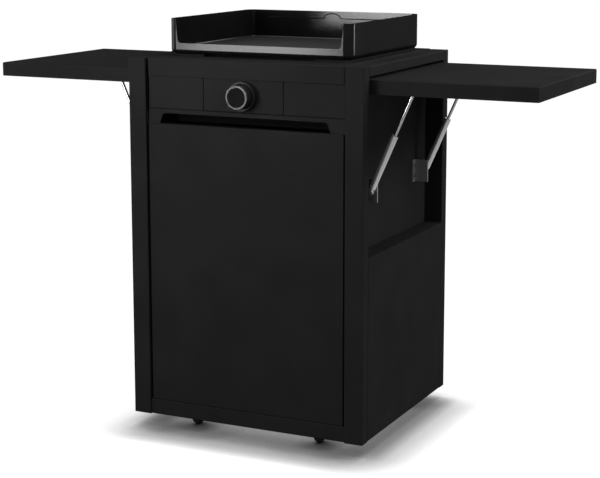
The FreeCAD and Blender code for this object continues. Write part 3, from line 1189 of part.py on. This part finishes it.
def nodes():
    """Every named piece of the cart."""
    made = {
        "front_left_post": post(-1, True),
        "front_right_post": post(1, True),
        "rear_posts": group([post(-1, False), post(1, False)]),
        "front_bottom_rail": front_bottom_rail(),
        "base_rails": base_rails(),
        "side_top_rails": side_top_rails(),
        "bottom_panel": bottom_panel(),
        "right_recess_panel": right_recess_panel(),
        "left_recess_panel": mirrored(right_recess_panel()),
        "right_side_panel": right_side_panel(),
        "left_side_panel": mirrored(right_side_panel()),
        "rear_panel": rear_panel(),
        "cable_gland": cable_gland(),
        "worktop": worktop(),
        "control_panel": control_panel(),
        "fascia_fillers": fascia_fillers(),
        "handle_rail": handle_rail(),
        "door_panel": door_panel(),
        "door_liner": door_liner(),
        "door_hinge_pins": door_hinge_pins(),
        "door_hinge_bracket": door_hinge_bracket(),
        "door_magnet": door_magnet(),
        "right_shelf": right_shelf(),
        "left_shelf": mirrored(right_shelf()),
        "griddle_pan": griddle_pan(),
        "cooking_plate": cooking_plate(),
        "griddle_chassis": griddle_chassis(),
        "heating_element": heating_element(),
        "element_clamps": element_clamps(),
        "heat_reflector": heat_reflector(),
        "thermostat": thermostat(),
        "sensor_capillary": sensor_capillary(),
        "terminal_block": terminal_block(),
        "wiring": wiring(),
        "knob_bezel": knob_bezel(),
        "knob": knob(),
        "knob_ring": knob_ring(),
        "knob_spindle": knob_spindle(),
        "machine_screws": machine_screws(),
        "caster_plates": group([caster_plate(x, y) for name, x, y in caster_places()]),
    }
    bolts = right_shelf_bolts()
    made["shelf_hinge_bolts"] = group(bolts + [mirrored(bolt) for bolt in bolts])
    plates = bracket_plates()
    wall_brackets = [wall_bracket(*plate) for plate in plates]
    made["strut_wall_brackets"] = group(wall_brackets + [mirrored(bracket) for bracket in wall_brackets])
    shelf_brackets = group([shelf_bracket(*plate) for plate in plates])
    made["right_shelf_brackets"] = shelf_brackets
    made["left_shelf_brackets"] = mirrored(shelf_brackets)
    for row, y, inward in (("front", STRUT_FRONT_Y, 1), ("rear", STRUT_REAR_Y, -1)):
        made[f"{row}_right_strut_tube"] = strut_tube(y)
        made[f"{row}_left_strut_tube"] = mirrored(strut_tube(y))
        made[f"{row}_right_strut_rod"] = strut_rod(y, inward)
        made[f"{row}_left_strut_rod"] = mirrored(strut_rod(y, inward))
    for name, x, y in caster_places():
        made[f"{name}_caster_fork"] = caster_fork(x, y)
        made[f"{name}_caster_wheel"] = caster_wheel(x, y)
    return made


os.makedirs("parts", exist_ok=True)
for node_name, shape in nodes().items():
    shape.exportStep(f"parts/{node_name}.step")
print(f"strut lean {OPEN_LEAN:.3f} to {FOLDED_LEAN:.3f} degrees")
print(f"strut length {OPEN_LENGTH:.3f} to {FOLDED_LENGTH:.3f} mm")
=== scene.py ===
"""Electric griddle on cart: materials, trim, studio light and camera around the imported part."""
import json
import math
from collections import namedtuple

import bmesh
import bpy
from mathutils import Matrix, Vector


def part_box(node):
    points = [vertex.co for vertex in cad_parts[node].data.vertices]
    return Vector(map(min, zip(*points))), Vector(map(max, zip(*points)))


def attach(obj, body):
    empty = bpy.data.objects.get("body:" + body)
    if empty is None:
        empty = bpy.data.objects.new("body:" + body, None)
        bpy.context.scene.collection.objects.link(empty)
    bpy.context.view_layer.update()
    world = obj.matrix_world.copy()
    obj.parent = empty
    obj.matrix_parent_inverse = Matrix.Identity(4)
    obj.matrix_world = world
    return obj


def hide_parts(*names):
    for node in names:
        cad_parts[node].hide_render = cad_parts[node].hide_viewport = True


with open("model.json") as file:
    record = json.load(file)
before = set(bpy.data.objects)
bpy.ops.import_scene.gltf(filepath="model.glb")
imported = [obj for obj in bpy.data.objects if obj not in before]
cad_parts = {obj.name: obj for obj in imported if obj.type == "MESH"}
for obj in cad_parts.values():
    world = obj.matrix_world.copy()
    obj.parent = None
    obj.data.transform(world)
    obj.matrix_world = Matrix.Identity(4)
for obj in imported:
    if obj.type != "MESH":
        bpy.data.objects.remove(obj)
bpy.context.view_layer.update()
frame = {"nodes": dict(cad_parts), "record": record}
NODES = frame["nodes"]

Lamp = namedtuple("Lamp", "place target width height power spread")
Shade = namedtuple("Shade", "reach strength lean")

# Camera, in metres and degrees
CAMERA_PLACE = (1.59328, -3.25917, 1.16964)
CAMERA_YAW = 25.3152
CAMERA_PITCH = 9.4465
CAMERA_LENS = 94.0
CAMERA_SENSOR = 36.0
CAMERA_SHIFT = (-0.01715, -0.10)
CAMERA_REACH = 100.0
LEVEL_TILT = 90.0

# Floor and surroundings
FLOOR_HALF = 24.0
FLOOR_GREY = 0.10
FLOOR_GLOW = 0.945
MIRROR_GLOW = 0.70
CONTACT_SHADE = Shade(reach=0.060, strength=1.9, lean=(-0.45, 0.30, 0.84))
FRONT_SHADE = Shade(reach=0.12, strength=3.6, lean=(-0.40, 0.90, 0.14))
WHITE = (1.0, 1.0, 1.0, 1.0)
WORLD_LIGHT = 0.68
BACKDROP_WHITE = 1.0

# Lamps, in metres, watts and degrees
LAMPS = {
    "key_lamp": Lamp(place=(-1.00, -2.10, 1.38), target=(0.0, -0.1, 0.60),
                     width=1.2, height=0.9, power=30.0, spread=180.0),
    "top_lamp": Lamp(place=(0.60, 0.10, 2.70), target=(0.1, 0.0, 0.80),
                     width=2.0, height=1.8, power=26.0, spread=180.0),
    "strip_lamp": Lamp(place=(-1.38, -2.80, 0.66), target=(0.0, -0.15, 0.92),
                       width=0.60, height=0.30, power=1.45, spread=36.0),
    "glow_lamp": Lamp(place=(-1.00, -2.80, 0.83), target=(0.15, 0.236, 0.96),
                      width=0.40, height=0.12, power=0.18, spread=14.0),
    "rim_lamp": Lamp(place=(1.88, 1.58, 0.73), target=(0.228, -0.15, 0.92),
                     width=0.12, height=0.6, power=0.12, spread=10.0),
    "right_lamp": Lamp(place=(2.50, 0.25, 1.65), target=(0.25, 0.0, 0.60),
                       width=0.8, height=0.6, power=51.0, spread=180.0),
    "left_lamp": Lamp(place=(-2.60, -0.55, 0.82), target=(-0.20, -0.19, 0.90),
                      width=1.8, height=1.10, power=57.0, spread=180.0),
    "back_lamp": Lamp(place=(1.30, 3.10, 1.80), target=(0.0, 0.2, 0.5),
                      width=2.0, height=1.6, power=60.0, spread=180.0),
}

# Textures: cells of cloudy colour per metre, steps of finer noise, and the range that noise mostly fills
CLOUD_SCALE = 9.0
NOISE_DETAIL = 3.0
NOISE_LOW = 0.3
NOISE_HIGH = 0.7

# Scale of a texture along x, y and z, where a small scale draws the texture out
EVEN = (1.0, 1.0, 1.0)
UPRIGHT_GRAIN = (1.0, 1.0, 0.05)

# Handle rail: thickness of its sheet, and the colour of the painted shade inside its finger slot
RAIL_SHEET = 0.0012
RAIL_PAINTED_SHADE = (0.0012, 0.0012, 0.0012)

# Knob: depth at which its side begins, depth over which the colour changes, and the lighter colour of its
# side, a painted sheen
KNOB_SIDE_START = 0.00085
KNOB_EDGE = 0.001
KNOB_SIDE_PAINTED_SHEEN = (0.016, 0.016, 0.017)

# Rib and arch pressed in the splash guard
PAN_WALL = 0.0025
RIB_HALF_LENGTH = 0.170
RIB_DROP = 0.0175
RIB_RADIUS = 0.0016
RIB_SINK = 0.0004
ARCH_HALF_WIDTH = 0.022
ARCH_HEIGHT = 0.012
ARCH_STEPS = 24

# Bead along the seam between the cooking plate and the splash guard
SEAM_RADIUS = 0.0022
SEAM_INSET = 0.012
SEAM_BEND = 0.010
SEAM_STEPS = 8

# Roundness of the rib's and the seam's section
BEAD_ROUNDING = 4

# Machine screws, in metres and degrees
SCREW_SHANK = 0.0025
SCREW_HEAD_RADIUS = 0.0042
SCREW_HEAD_HEIGHT = 0.0024
SOCKET_APOTHEM = 0.0015
SOCKET_DEPTH = 0.0015
SCREW_SIDES = 24
HEX_SIDES = 6
WELD_REACH = 0.00001
SHARP_EDGE = 40.0

# Crown of a screw's head: share of its radius, and share of its height below the top
SCREW_CROWN = ((1.0, 0.70), (0.95, 0.38), (0.84, 0.16), (0.68, 0.03), (0.60, 0.0))

AXES = range(3)
QUARTER_TURN = math.pi / 2.0


def grey(level):
    """Neutral colour of a given level."""
    return (level, level, level)


def opaque(colour):
    """Colour with full alpha."""
    return (*colour, 1.0)


def blank_material(name):
    """New material that has only its output."""
    material = bpy.data.materials.new(name)
    material.use_nodes = True
    tree = material.node_tree
    tree.nodes.clear()
    output = tree.nodes.new("ShaderNodeOutputMaterial")
    return material, tree, output.inputs["Surface"]


def shader_material(name, colour, metallic, specular):
    """New material with one shader, whose steady values are set on its own sockets."""
    material, tree, surface = blank_material(name)
    shader = tree.nodes.new("ShaderNodeBsdfPrincipled")
    shader.inputs["Base Color"].default_value = opaque(colour)
    shader.inputs["Metallic"].default_value = metallic
    shader.inputs["Specular IOR Level"].default_value = specular
    tree.links.new(shader.outputs["BSDF"], surface)
    return material, tree, shader


def combined(tree, operation, first, second):
    """Sum, product or the like of a value and another value or number."""
    node = tree.nodes.new("ShaderNodeMath")
    node.operation = operation
    tree.links.new(first, node.inputs[0])
    if isinstance(second, float):
        node.inputs[1].default_value = second
    else:
        tree.links.new(second, node.inputs[1])
    return node.outputs["Value"]


def place_on_object(tree, stretch=EVEN):
    """Texture place on the object, in metres, stretched along its axes."""
    coordinates = tree.nodes.new("ShaderNodeTexCoord")
    mapping = tree.nodes.new("ShaderNodeMapping")
    mapping.inputs["Scale"].default_value = stretch
    tree.links.new(coordinates.outputs["Object"], mapping.inputs["Vector"])
    return mapping.outputs["Vector"]


def noise(tree, place, scale):
    """Soft noise of a given number of cells per metre."""
    node = tree.nodes.new("ShaderNodeTexNoise")
    node.inputs["Scale"].default_value = scale
    node.inputs["Detail"].default_value = NOISE_DETAIL
    tree.links.new(place, node.inputs["Vector"])
    return node.outputs["Fac"]


def cells(tree, place, scale):
    """Cells whose tone rises from their middle, such as crystals in a metal coat."""
    node = tree.nodes.new("ShaderNodeTexVoronoi")
    node.inputs["Scale"].default_value = scale
    tree.links.new(place, node.inputs["Vector"])
    return node.outputs["Distance"]


def spread(tree, value, low, high):
    """Noise spread over a range of values."""
    node = tree.nodes.new("ShaderNodeMapRange")
    node.inputs["From Min"].default_value = NOISE_LOW
    node.inputs["From Max"].default_value = NOISE_HIGH
    node.inputs["To Min"].default_value = low
    node.inputs["To Max"].default_value = high
    tree.links.new(value, node.inputs["Value"])
    return node.outputs["Result"]


def tint(tree, value, dark, light):
    """Colour that goes from dark to light with a value."""
    node = tree.nodes.new("ShaderNodeValToRGB")
    ends = ((NOISE_LOW, dark), (NOISE_HIGH, light))
    for element, (position, colour) in zip(node.color_ramp.elements, ends):
        element.position = position
        element.color = opaque(colour)
    tree.links.new(value, node.inputs["Fac"])
    return node.outputs["Color"]


def bump(tree, height, depth, shader):
    """Relief of a given depth in metres."""
    node = tree.nodes.new("ShaderNodeBump")
    node.inputs["Distance"].default_value = depth
    tree.links.new(height, node.inputs["Height"])
    tree.links.new(node.outputs["Normal"], shader.inputs["Normal"])


def halfway(dark, light):
    """Colour midway between two others."""
    return tuple((a + b) / 2.0 for a, b in zip(dark, light))


def textured(name, dark, light, rough, grain, relief, metallic=0.0, specular=0.0, stretch=EVEN):
    """Material with cloudy colour, uneven roughness and a fine relief."""
    material, tree, shader = shader_material(name, halfway(dark, light), metallic, specular)
    cloud = noise(tree, place_on_object(tree), CLOUD_SCALE)
    fine = noise(tree, place_on_object(tree, stretch), grain)
    tree.links.new(tint(tree, cloud, dark, light), shader.inputs["Base Color"])
    tree.links.new(spread(tree, fine, *rough), shader.inputs["Roughness"])
    bump(tree, fine, relief, shader)
    return material


def metal(name, dark, light, rough, grain, relief):
    """Bare or plated metal with cloudy colour and a fine relief."""
    return textured(name, dark, light, rough, grain, relief, metallic=1.0, specular=0.5)


def spangled(name, dark, light, rough, patch, grain, relief, raised):
    """Coated metal with crystal patches, in which either the patches or the grain stand out."""
    material, tree, shader = shader_material(name, halfway(dark, light), metallic=1.0, specular=0.5)
    place = place_on_object(tree)
    heights = {"patches": cells(tree, place, patch), "grain": noise(tree, place, grain)}
    tree.links.new(tint(tree, heights["patches"], dark, light), shader.inputs["Base Color"])
    tree.links.new(spread(tree, heights["grain"], *rough), shader.inputs["Roughness"])
    bump(tree, heights[raised], relief, shader)
    return material


def glazed(material, weight, roughness, index=1.5):
    """Lay a clear coat of a given weight and refractive index over a material."""
    shader = material.node_tree.nodes["Principled BSDF"]
    shader.inputs["Coat Weight"].default_value = weight
    shader.inputs["Coat Roughness"].default_value = roughness
    shader.inputs["Coat IOR"].default_value = index
    return material


def behind_face(material, face_y, change, colour):
    """Paint what lies behind a front face another colour, reached over a given depth; this paints the shade
    in the rail's finger slot and the sheen on the knob's side.
    """
    tree = material.node_tree
    base = tree.nodes["Principled BSDF"].inputs["Base Color"]
    outer = base.links[0].from_socket
    place = tree.nodes.new("ShaderNodeSeparateXYZ")
    tree.links.new(place_on_object(tree), place.inputs["Vector"])
    depth = tree.nodes.new("ShaderNodeMapRange")
    depth.inputs["From Min"].default_value = face_y
    depth.inputs["From Max"].default_value = face_y + change
    tree.links.new(place.outputs["Y"], depth.inputs["Value"])
    mix = tree.nodes.new("ShaderNodeMix")
    mix.data_type = "RGBA"
    mix.inputs["B"].default_value = opaque(colour)
    tree.links.new(depth.outputs["Result"], mix.inputs["Factor"])
    tree.links.new(outer, mix.inputs["A"])
    tree.links.new(mix.outputs["Result"], base)
    return material


def powder_coat(name="powder_coat"):
    """Matte black powder coat with a fine grain."""
    coat = textured(name, dark=grey(0.0100), light=grey(0.0125), rough=(0.44, 0.58),
                    grain=900.0, relief=0.00006)
    return glazed(coat, weight=0.016, roughness=0.5)


def rail_coat_with_painted_shade():
    """Powder coat of the handle rail, with painted shade inside its finger slot."""
    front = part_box("handle_rail")[0].y
    # Painted shade: the inside of the finger slot is painted near black.
    return behind_face(powder_coat("rail_coat_with_painted_shade"), front, RAIL_SHEET, RAIL_PAINTED_SHADE)


def screw_steel():
    """Blackened steel of the machine screws."""
    return metal("screw_steel", dark=(0.050, 0.050, 0.052), light=(0.075, 0.075, 0.078), rough=(0.38, 0.50),
                 grain=900.0, relief=0.00002)


def enamel():
    """Glossy black enamel with a slight waviness."""
    glass = textured("enamel", dark=grey(0.0028), light=grey(0.0042), rough=(0.17, 0.24),
                     grain=120.0, relief=0.00003)
    return glazed(glass, weight=0.05, roughness=0.16, index=2.0)


def plate_iron():
    """Satin black coat of the cooking plate."""
    coat = textured("plate_iron", dark=grey(0.012), light=grey(0.018), rough=(0.34, 0.46),
                    grain=700.0, relief=0.00005)
    return glazed(coat, weight=0.12, roughness=0.36)


def seam_steel():
    """Bare satin metal along the edge of the cooking plate."""
    return metal("seam_steel", dark=(0.034, 0.034, 0.033), light=(0.048, 0.048, 0.046), rough=(0.34, 0.46),
                 grain=900.0, relief=0.00002)


def bracket_steel():
    """Dark grey plated sheet of the brackets."""
    return metal("bracket_steel", dark=(0.16, 0.16, 0.165), light=(0.21, 0.21, 0.215), rough=(0.42, 0.55),
                 grain=500.0, relief=0.00003)


def ring_steel():
    """Dark satin metal of the knob's ring."""
    return metal("ring_steel", dark=(0.034, 0.034, 0.035), light=(0.043, 0.043, 0.044), rough=(0.40, 0.52),
                 grain=900.0, relief=0.00002)


def zinc_steel():
    """Bright plated steel of the pins and plates, with a faint crystal pattern."""
    return spangled("zinc_steel", dark=(0.40, 0.41, 0.43), light=(0.52, 0.53, 0.55), rough=(0.30, 0.42),
                    patch=220.0, grain=800.0, relief=0.00002, raised="grain")


def strut_steel():
    """Satin steel of the strut tubes, with a grain drawn out along their height."""
    return textured("strut_steel", dark=(0.42, 0.42, 0.425), light=(0.50, 0.50, 0.505), rough=(0.15, 0.22),
                    grain=600.0, relief=0.00002, metallic=0.5, specular=0.5, stretch=UPRIGHT_GRAIN)


def chrome():
    """Dim polished chrome with a trace of haze."""
    return metal("chrome", dark=(0.24, 0.24, 0.245), light=(0.28, 0.28, 0.285), rough=(0.14, 0.20),
                 grain=300.0, relief=0.000003)


def element_steel():
    """Heating element sheath, greyed by heat."""
    return metal("element_steel", dark=(0.16, 0.15, 0.14), light=(0.27, 0.25, 0.23), rough=(0.38, 0.52),
                 grain=400.0, relief=0.00004)


def reflector_sheet():
    """Aluminised sheet with a fine spangle."""
    return spangled("reflector_sheet", dark=(0.56, 0.57, 0.58), light=(0.68, 0.69, 0.70), rough=(0.30, 0.42),
                    patch=140.0, grain=600.0, relief=0.00002, raised="patches")


def capillary_copper():
    """Drawn copper with uneven tarnish."""
    return metal("capillary_copper", dark=(0.42, 0.20, 0.11), light=(0.62, 0.32, 0.20), rough=(0.26, 0.42),
                 grain=500.0, relief=0.00002)


def black_plastic(name="black_plastic"):
    """Moulded black plastic with a fine matte grain."""
    resin = textured(name, dark=grey(0.0032), light=grey(0.0048), rough=(0.36, 0.48),
                     grain=1100.0, relief=0.00004)
    return glazed(resin, weight=0.03, roughness=0.55)


def knob_plastic_painted_sheen():
    """Black plastic of the knob, with its side painted lighter than its face as a painted sheen."""
    side_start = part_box("knob")[0].y + KNOB_SIDE_START
    # Painted sheen: the knob's side is painted lighter than its face.
    return behind_face(black_plastic("knob_plastic_painted_sheen"), side_start, KNOB_EDGE, KNOB_SIDE_PAINTED_SHEEN)


def bezel_plastic():
    """Satin black plastic of the knob's bezel."""
    satin = textured("bezel_plastic", dark=grey(0.014), light=grey(0.018), rough=(0.36, 0.48),
                     grain=1100.0, relief=0.00003)
    return glazed(satin, weight=0.09, roughness=0.3)


def magnet_plastic():
    """Brown moulded case of the catch."""
    return textured("magnet_plastic", dark=(0.050, 0.030, 0.020), light=(0.075, 0.046, 0.030),
                    rough=(0.42, 0.56), grain=900.0, relief=0.00004, specular=0.4)


def wire_cover():
    """Silicone sleeve of the leads."""
    return textured("wire_cover", dark=(0.36, 0.035, 0.026), light=(0.46, 0.050, 0.036),
                    rough=(0.46, 0.60), grain=1200.0, relief=0.00003, specular=0.4)


def wheel_rubber():
    """Dark grey rubber of the casters, scuffed a little."""
    return textured("wheel_rubber", dark=(0.014, 0.014, 0.015), light=(0.026, 0.026, 0.027),
                    rough=(0.62, 0.80), grain=700.0, relief=0.00008, specular=0.3)


MATERIALS = {
    "powder_coat": powder_coat(),
    "enamel": enamel(),
    "plate_iron": plate_iron(),
    "zinc_steel": zinc_steel(),
    "strut_steel": strut_steel(),
    "chrome": chrome(),
    "element_steel": element_steel(),
    "reflector_sheet": reflector_sheet(),
    "capillary_copper": capillary_copper(),
    "black_plastic": black_plastic(),
    "magnet_plastic": magnet_plastic(),
    "wire_cover": wire_cover(),
    "wheel_rubber": wheel_rubber(),
}
BRACKET_STEEL = bracket_steel()
SPECIAL = {
    "strut_wall_brackets": BRACKET_STEEL,
    "right_shelf_brackets": BRACKET_STEEL,
    "left_shelf_brackets": BRACKET_STEEL,
    "knob_ring": ring_steel(),
    "knob": knob_plastic_painted_sheen(),
    "knob_bezel": bezel_plastic(),
    "handle_rail": rail_coat_with_painted_shade(),
}


def dress_nodes():
    """Give each carried-over node its own material, or else that of its slot."""
    for entry in frame["record"]["subparts"]:
        name = entry["node"]
        material = SPECIAL.get(name, MATERIALS[entry["material_slot"]])
        NODES[name].data.materials.clear()
        NODES[name].data.materials.append(material)


def new_object(name, data):
    """New object in the scene."""
    thing = bpy.data.objects.new(name, data)
    bpy.context.scene.collection.objects.link(thing)
    return thing


def bead(name, points, radius, material):
    """Round bead along a line of points on the cart."""
    curve = bpy.data.curves.new(name, "CURVE")
    curve.dimensions = "3D"
    curve.bevel_depth = radius
    curve.bevel_resolution = BEAD_ROUNDING
    curve.use_fill_caps = True
    spline = curve.splines.new("POLY")
    spline.points.add(len(points) - 1)
    for point, place in zip(spline.points, points):
        point.co = (*place, 1.0)
    curve.materials.append(material)
    piece = new_object(name, curve)
    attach(piece, "cart")


def rib_path(y, z):
    """Points of the pressed line: straight, over the arch, and straight on."""
    points = [Vector((-RIB_HALF_LENGTH, y, z))]
    for step in range(ARCH_STEPS + 1):
        turn = math.pi * (1.0 - step / ARCH_STEPS)
        rise = ARCH_HEIGHT * math.sin(turn)
        points.append(Vector((ARCH_HALF_WIDTH * math.cos(turn), y, z + rise)))
    points.append(Vector((RIB_HALF_LENGTH, y, z)))
    return points


def splash_rib():
    """Rounded line that stands out on the inside of the splash guard's back wall."""
    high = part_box("griddle_pan")[1]
    points = rib_path(high.y - PAN_WALL + RIB_SINK, high.z - RIB_DROP)
    bead("splash_rib", points, RIB_RADIUS, MATERIALS["enamel"])


def seam_path(low, high):
    """Points along the back and the sides of the plate, round its rear corners."""
    points = [Vector((low.x, low.y, high.z))]
    for middle_x, start in ((low.x + SEAM_BEND, math.pi), (high.x - SEAM_BEND, QUARTER_TURN)):
        for step in range(SEAM_STEPS + 1):
            turn = start - QUARTER_TURN * step / SEAM_STEPS
            x = middle_x + SEAM_BEND * math.cos(turn)
            y = high.y - SEAM_BEND + SEAM_BEND * math.sin(turn)
            points.append(Vector((x, y, high.z)))
    points.append(Vector((high.x, low.y, high.z)))
    return points


def plate_seam():
    """Bead that closes the seam round the back and the sides of the cooking plate."""
    low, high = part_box("cooking_plate")
    inset = Vector((0.0, SEAM_INSET, 0.0))
    bead("plate_seam", seam_path(low + inset, high), SEAM_RADIUS, seam_steel())


def linked_points(first, seen):
    """Points that edges link to a first one, each taken once."""
    seen.add(first.index)
    waiting = [first]
    points = []
    while waiting:
        vert = waiting.pop()
        points.append(vert.co.copy())
        for edge in vert.link_edges:
            other = edge.other_vert(vert)
            if other.index not in seen:
                seen.add(other.index)
                waiting.append(other)
    return points


def loose_parts(mesh):
    """Points of each loose part of a mesh."""
    shape = bmesh.new()
    shape.from_mesh(mesh)
    bmesh.ops.remove_doubles(shape, verts=shape.verts, dist=WELD_REACH)
    shape.verts.index_update()
    seen = set()
    parts = [linked_points(vert, seen) for vert in shape.verts if vert.index not in seen]
    shape.free()
    return parts


def screw_axis(points):
    """Middle of the top of a screw's head, the way the head faces, and the screw's length."""
    low = Vector([min(point[axis] for point in points) for axis in AXES])
    high = Vector([max(point[axis] for point in points) for axis in AXES])
    middle = (low + high) / 2.0
    size = high - low
    along = max(AXES, key=lambda axis: size[axis])
    facing = Vector((0.0, 0.0, 0.0))
    facing[along] = 1.0
    widest = max(points, key=lambda point: facing.cross(point - middle).length)
    if widest[along] < middle[along]:
        facing.negate()
    return middle + facing * (size[along] / 2.0), facing, size[along]


def hex_distances():
    """Distances from the middle of a hex socket to its sides, step by step round it."""
    sixth = math.tau / HEX_SIDES
    turns = [math.tau * step / SCREW_SIDES for step in range(SCREW_SIDES)]
    return [SOCKET_APOTHEM / math.cos(turn % sixth - sixth / 2.0) for turn in turns]


def screw_levels(length):
    """Distances of a screw's rings from its axis, and their depths below the top of its head."""
    shank = [(SCREW_SHANK, length), (SCREW_SHANK, SCREW_HEAD_HEIGHT)]
    head = [(SCREW_HEAD_RADIUS, SCREW_HEAD_HEIGHT)]
    head += [(SCREW_HEAD_RADIUS * wide, SCREW_HEAD_HEIGHT * down) for wide, down in SCREW_CROWN]
    levels = [([radius] * SCREW_SIDES, depth) for radius, depth in shank + head]
    return levels + [(hex_distances(), 0.0), (hex_distances(), SOCKET_DEPTH)]


def add_screw(shape, points):
    """One screw with a shank, a crowned head and a hex socket."""
    top, facing, length = screw_axis(points)
    across = facing.orthogonal().normalized()
    beside = facing.cross(across)
    rings = []
    for distances, depth in screw_levels(length):
        ring = []
        for step, distance in enumerate(distances):
            turn = math.tau * step / SCREW_SIDES
            spoke = across * math.cos(turn) + beside * math.sin(turn)
            ring.append(shape.verts.new(top - facing * depth + spoke * distance))
        rings.append(ring)
    for lower, upper in zip(rings, rings[1:]):
        for step in range(SCREW_SIDES):
            after = (step + 1) % SCREW_SIDES
            shape.faces.new((lower[step], lower[after], upper[after], upper[step]))
    shape.faces.new(reversed(rings[0]))
    shape.faces.new(rings[-1])


def socket_screws():
    """Socket screws in the places of the plain machine screws."""
    shape = bmesh.new()
    for points in loose_parts(NODES["machine_screws"].data):
        add_screw(shape, points)
    bmesh.ops.recalc_face_normals(shape, faces=shape.faces)
    mesh = bpy.data.meshes.new("socket_screws")
    shape.to_mesh(mesh)
    shape.free()
    mesh.shade_smooth()
    mesh.set_sharp_from_angle(angle=math.radians(SHARP_EDGE))
    mesh.materials.append(screw_steel())
    piece = new_object("socket_screws", mesh)
    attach(piece, "cart")
    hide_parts("machine_screws")


def openness(tree, shade):
    """How open a point of the floor is, on the side to which the shade's normal leans."""
    node = tree.nodes.new("ShaderNodeAmbientOcclusion")
    node.inputs["Distance"].default_value = shade.reach
    normal = tree.nodes.new("ShaderNodeCombineXYZ")
    for axis, part in zip("XYZ", shade.lean):
        normal.inputs[axis].default_value = part
    tree.links.new(normal.outputs["Vector"], node.inputs["Normal"])
    return combined(tree, "POWER", node.outputs["AO"], shade.strength)


def ray_kinds(tree):
    """Whether a ray comes straight from the camera, and whether by a mirror or through glass."""
    path = tree.nodes.new("ShaderNodeLightPath")
    glossy = path.outputs["Is Glossy Ray"]
    passing = path.outputs["Is Transmission Ray"]
    return path.outputs["Is Camera Ray"], combined(tree, "MAXIMUM", glossy, passing)


def floor_material():
    """Floor that looks white and keeps the shadow near the cart."""
    material, tree, surface = blank_material("studio_floor")
    diffuse = tree.nodes.new("ShaderNodeBsdfDiffuse")
    glow = tree.nodes.new("ShaderNodeEmission")
    glow.inputs["Color"].default_value = WHITE
    straight, mirrored = ray_kinds(tree)
    seen = combined(tree, "MULTIPLY", straight, FLOOR_GLOW)
    reflected = combined(tree, "MULTIPLY", mirrored, MIRROR_GLOW)
    both_rays = combined(tree, "ADD", seen, reflected)
    open_sky = combined(tree, "MULTIPLY", openness(tree, CONTACT_SHADE), openness(tree, FRONT_SHADE))
    tree.links.new(combined(tree, "MULTIPLY", open_sky, FLOOR_GREY), diffuse.inputs["Color"])
    tree.links.new(combined(tree, "MULTIPLY", both_rays, open_sky), glow.inputs["Strength"])
    both = tree.nodes.new("ShaderNodeAddShader")
    tree.links.new(diffuse.outputs["BSDF"], both.inputs[0])
    tree.links.new(glow.outputs["Emission"], both.inputs[1])
    tree.links.new(both.outputs["Shader"], surface)
    return material


def add_floor():
    """Wide plain floor under the casters."""
    shape = bmesh.new()
    corners = ((-1, -1), (1, -1), (1, 1), (-1, 1))
    shape.faces.new([shape.verts.new((x * FLOOR_HALF, y * FLOOR_HALF, 0.0)) for x, y in corners])
    mesh = bpy.data.meshes.new("floor")
    shape.to_mesh(mesh)
    shape.free()
    mesh.materials.append(floor_material())
    floor = new_object("floor", mesh)


def set_world():
    """Soft light from all round, seen as a white backdrop."""
    world = bpy.data.worlds.new("studio")
    bpy.context.scene.world = world
    world.use_nodes = True
    tree = world.node_tree
    background = tree.nodes["Background"]
    background.inputs["Color"].default_value = WHITE
    seen = combined(tree, "MAXIMUM", *ray_kinds(tree))
    extra = combined(tree, "MULTIPLY", seen, BACKDROP_WHITE - WORLD_LIGHT)
    tree.links.new(combined(tree, "ADD", extra, WORLD_LIGHT), background.inputs["Strength"])


def add_lamp(name, lamp):
    """Soft rectangular lamp aimed at a point."""
    light = bpy.data.lights.new(name, "AREA")
    light.shape = "RECTANGLE"
    light.size = lamp.width
    light.size_y = lamp.height
    light.energy = lamp.power
    light.spread = math.radians(lamp.spread)
    thing = new_object(name, light)
    thing.location = lamp.place
    aim = Vector(lamp.target) - Vector(lamp.place)
    thing.rotation_euler = aim.to_track_quat("-Z", "Y").to_euler()


def add_camera():
    """Camera at the photograph's place and angle."""
    data = bpy.data.cameras.new("camera")
    data.lens = CAMERA_LENS
    data.sensor_width = CAMERA_SENSOR
    data.sensor_fit = "HORIZONTAL"
    data.shift_x, data.shift_y = CAMERA_SHIFT
    data.clip_end = CAMERA_REACH
    camera = new_object("camera", data)
    camera.location = CAMERA_PLACE
    camera.rotation_euler = (math.radians(LEVEL_TILT - CAMERA_PITCH), 0.0, math.radians(CAMERA_YAW))
    bpy.context.scene.camera = camera


dress_nodes()
splash_rib()
plate_seam()
socket_screws()
add_floor()
set_world()
for lamp_name, lamp_values in LAMPS.items():
    add_lamp(lamp_name, lamp_values)
add_camera()
bpy.context.scene.view_settings.view_transform = "Standard"
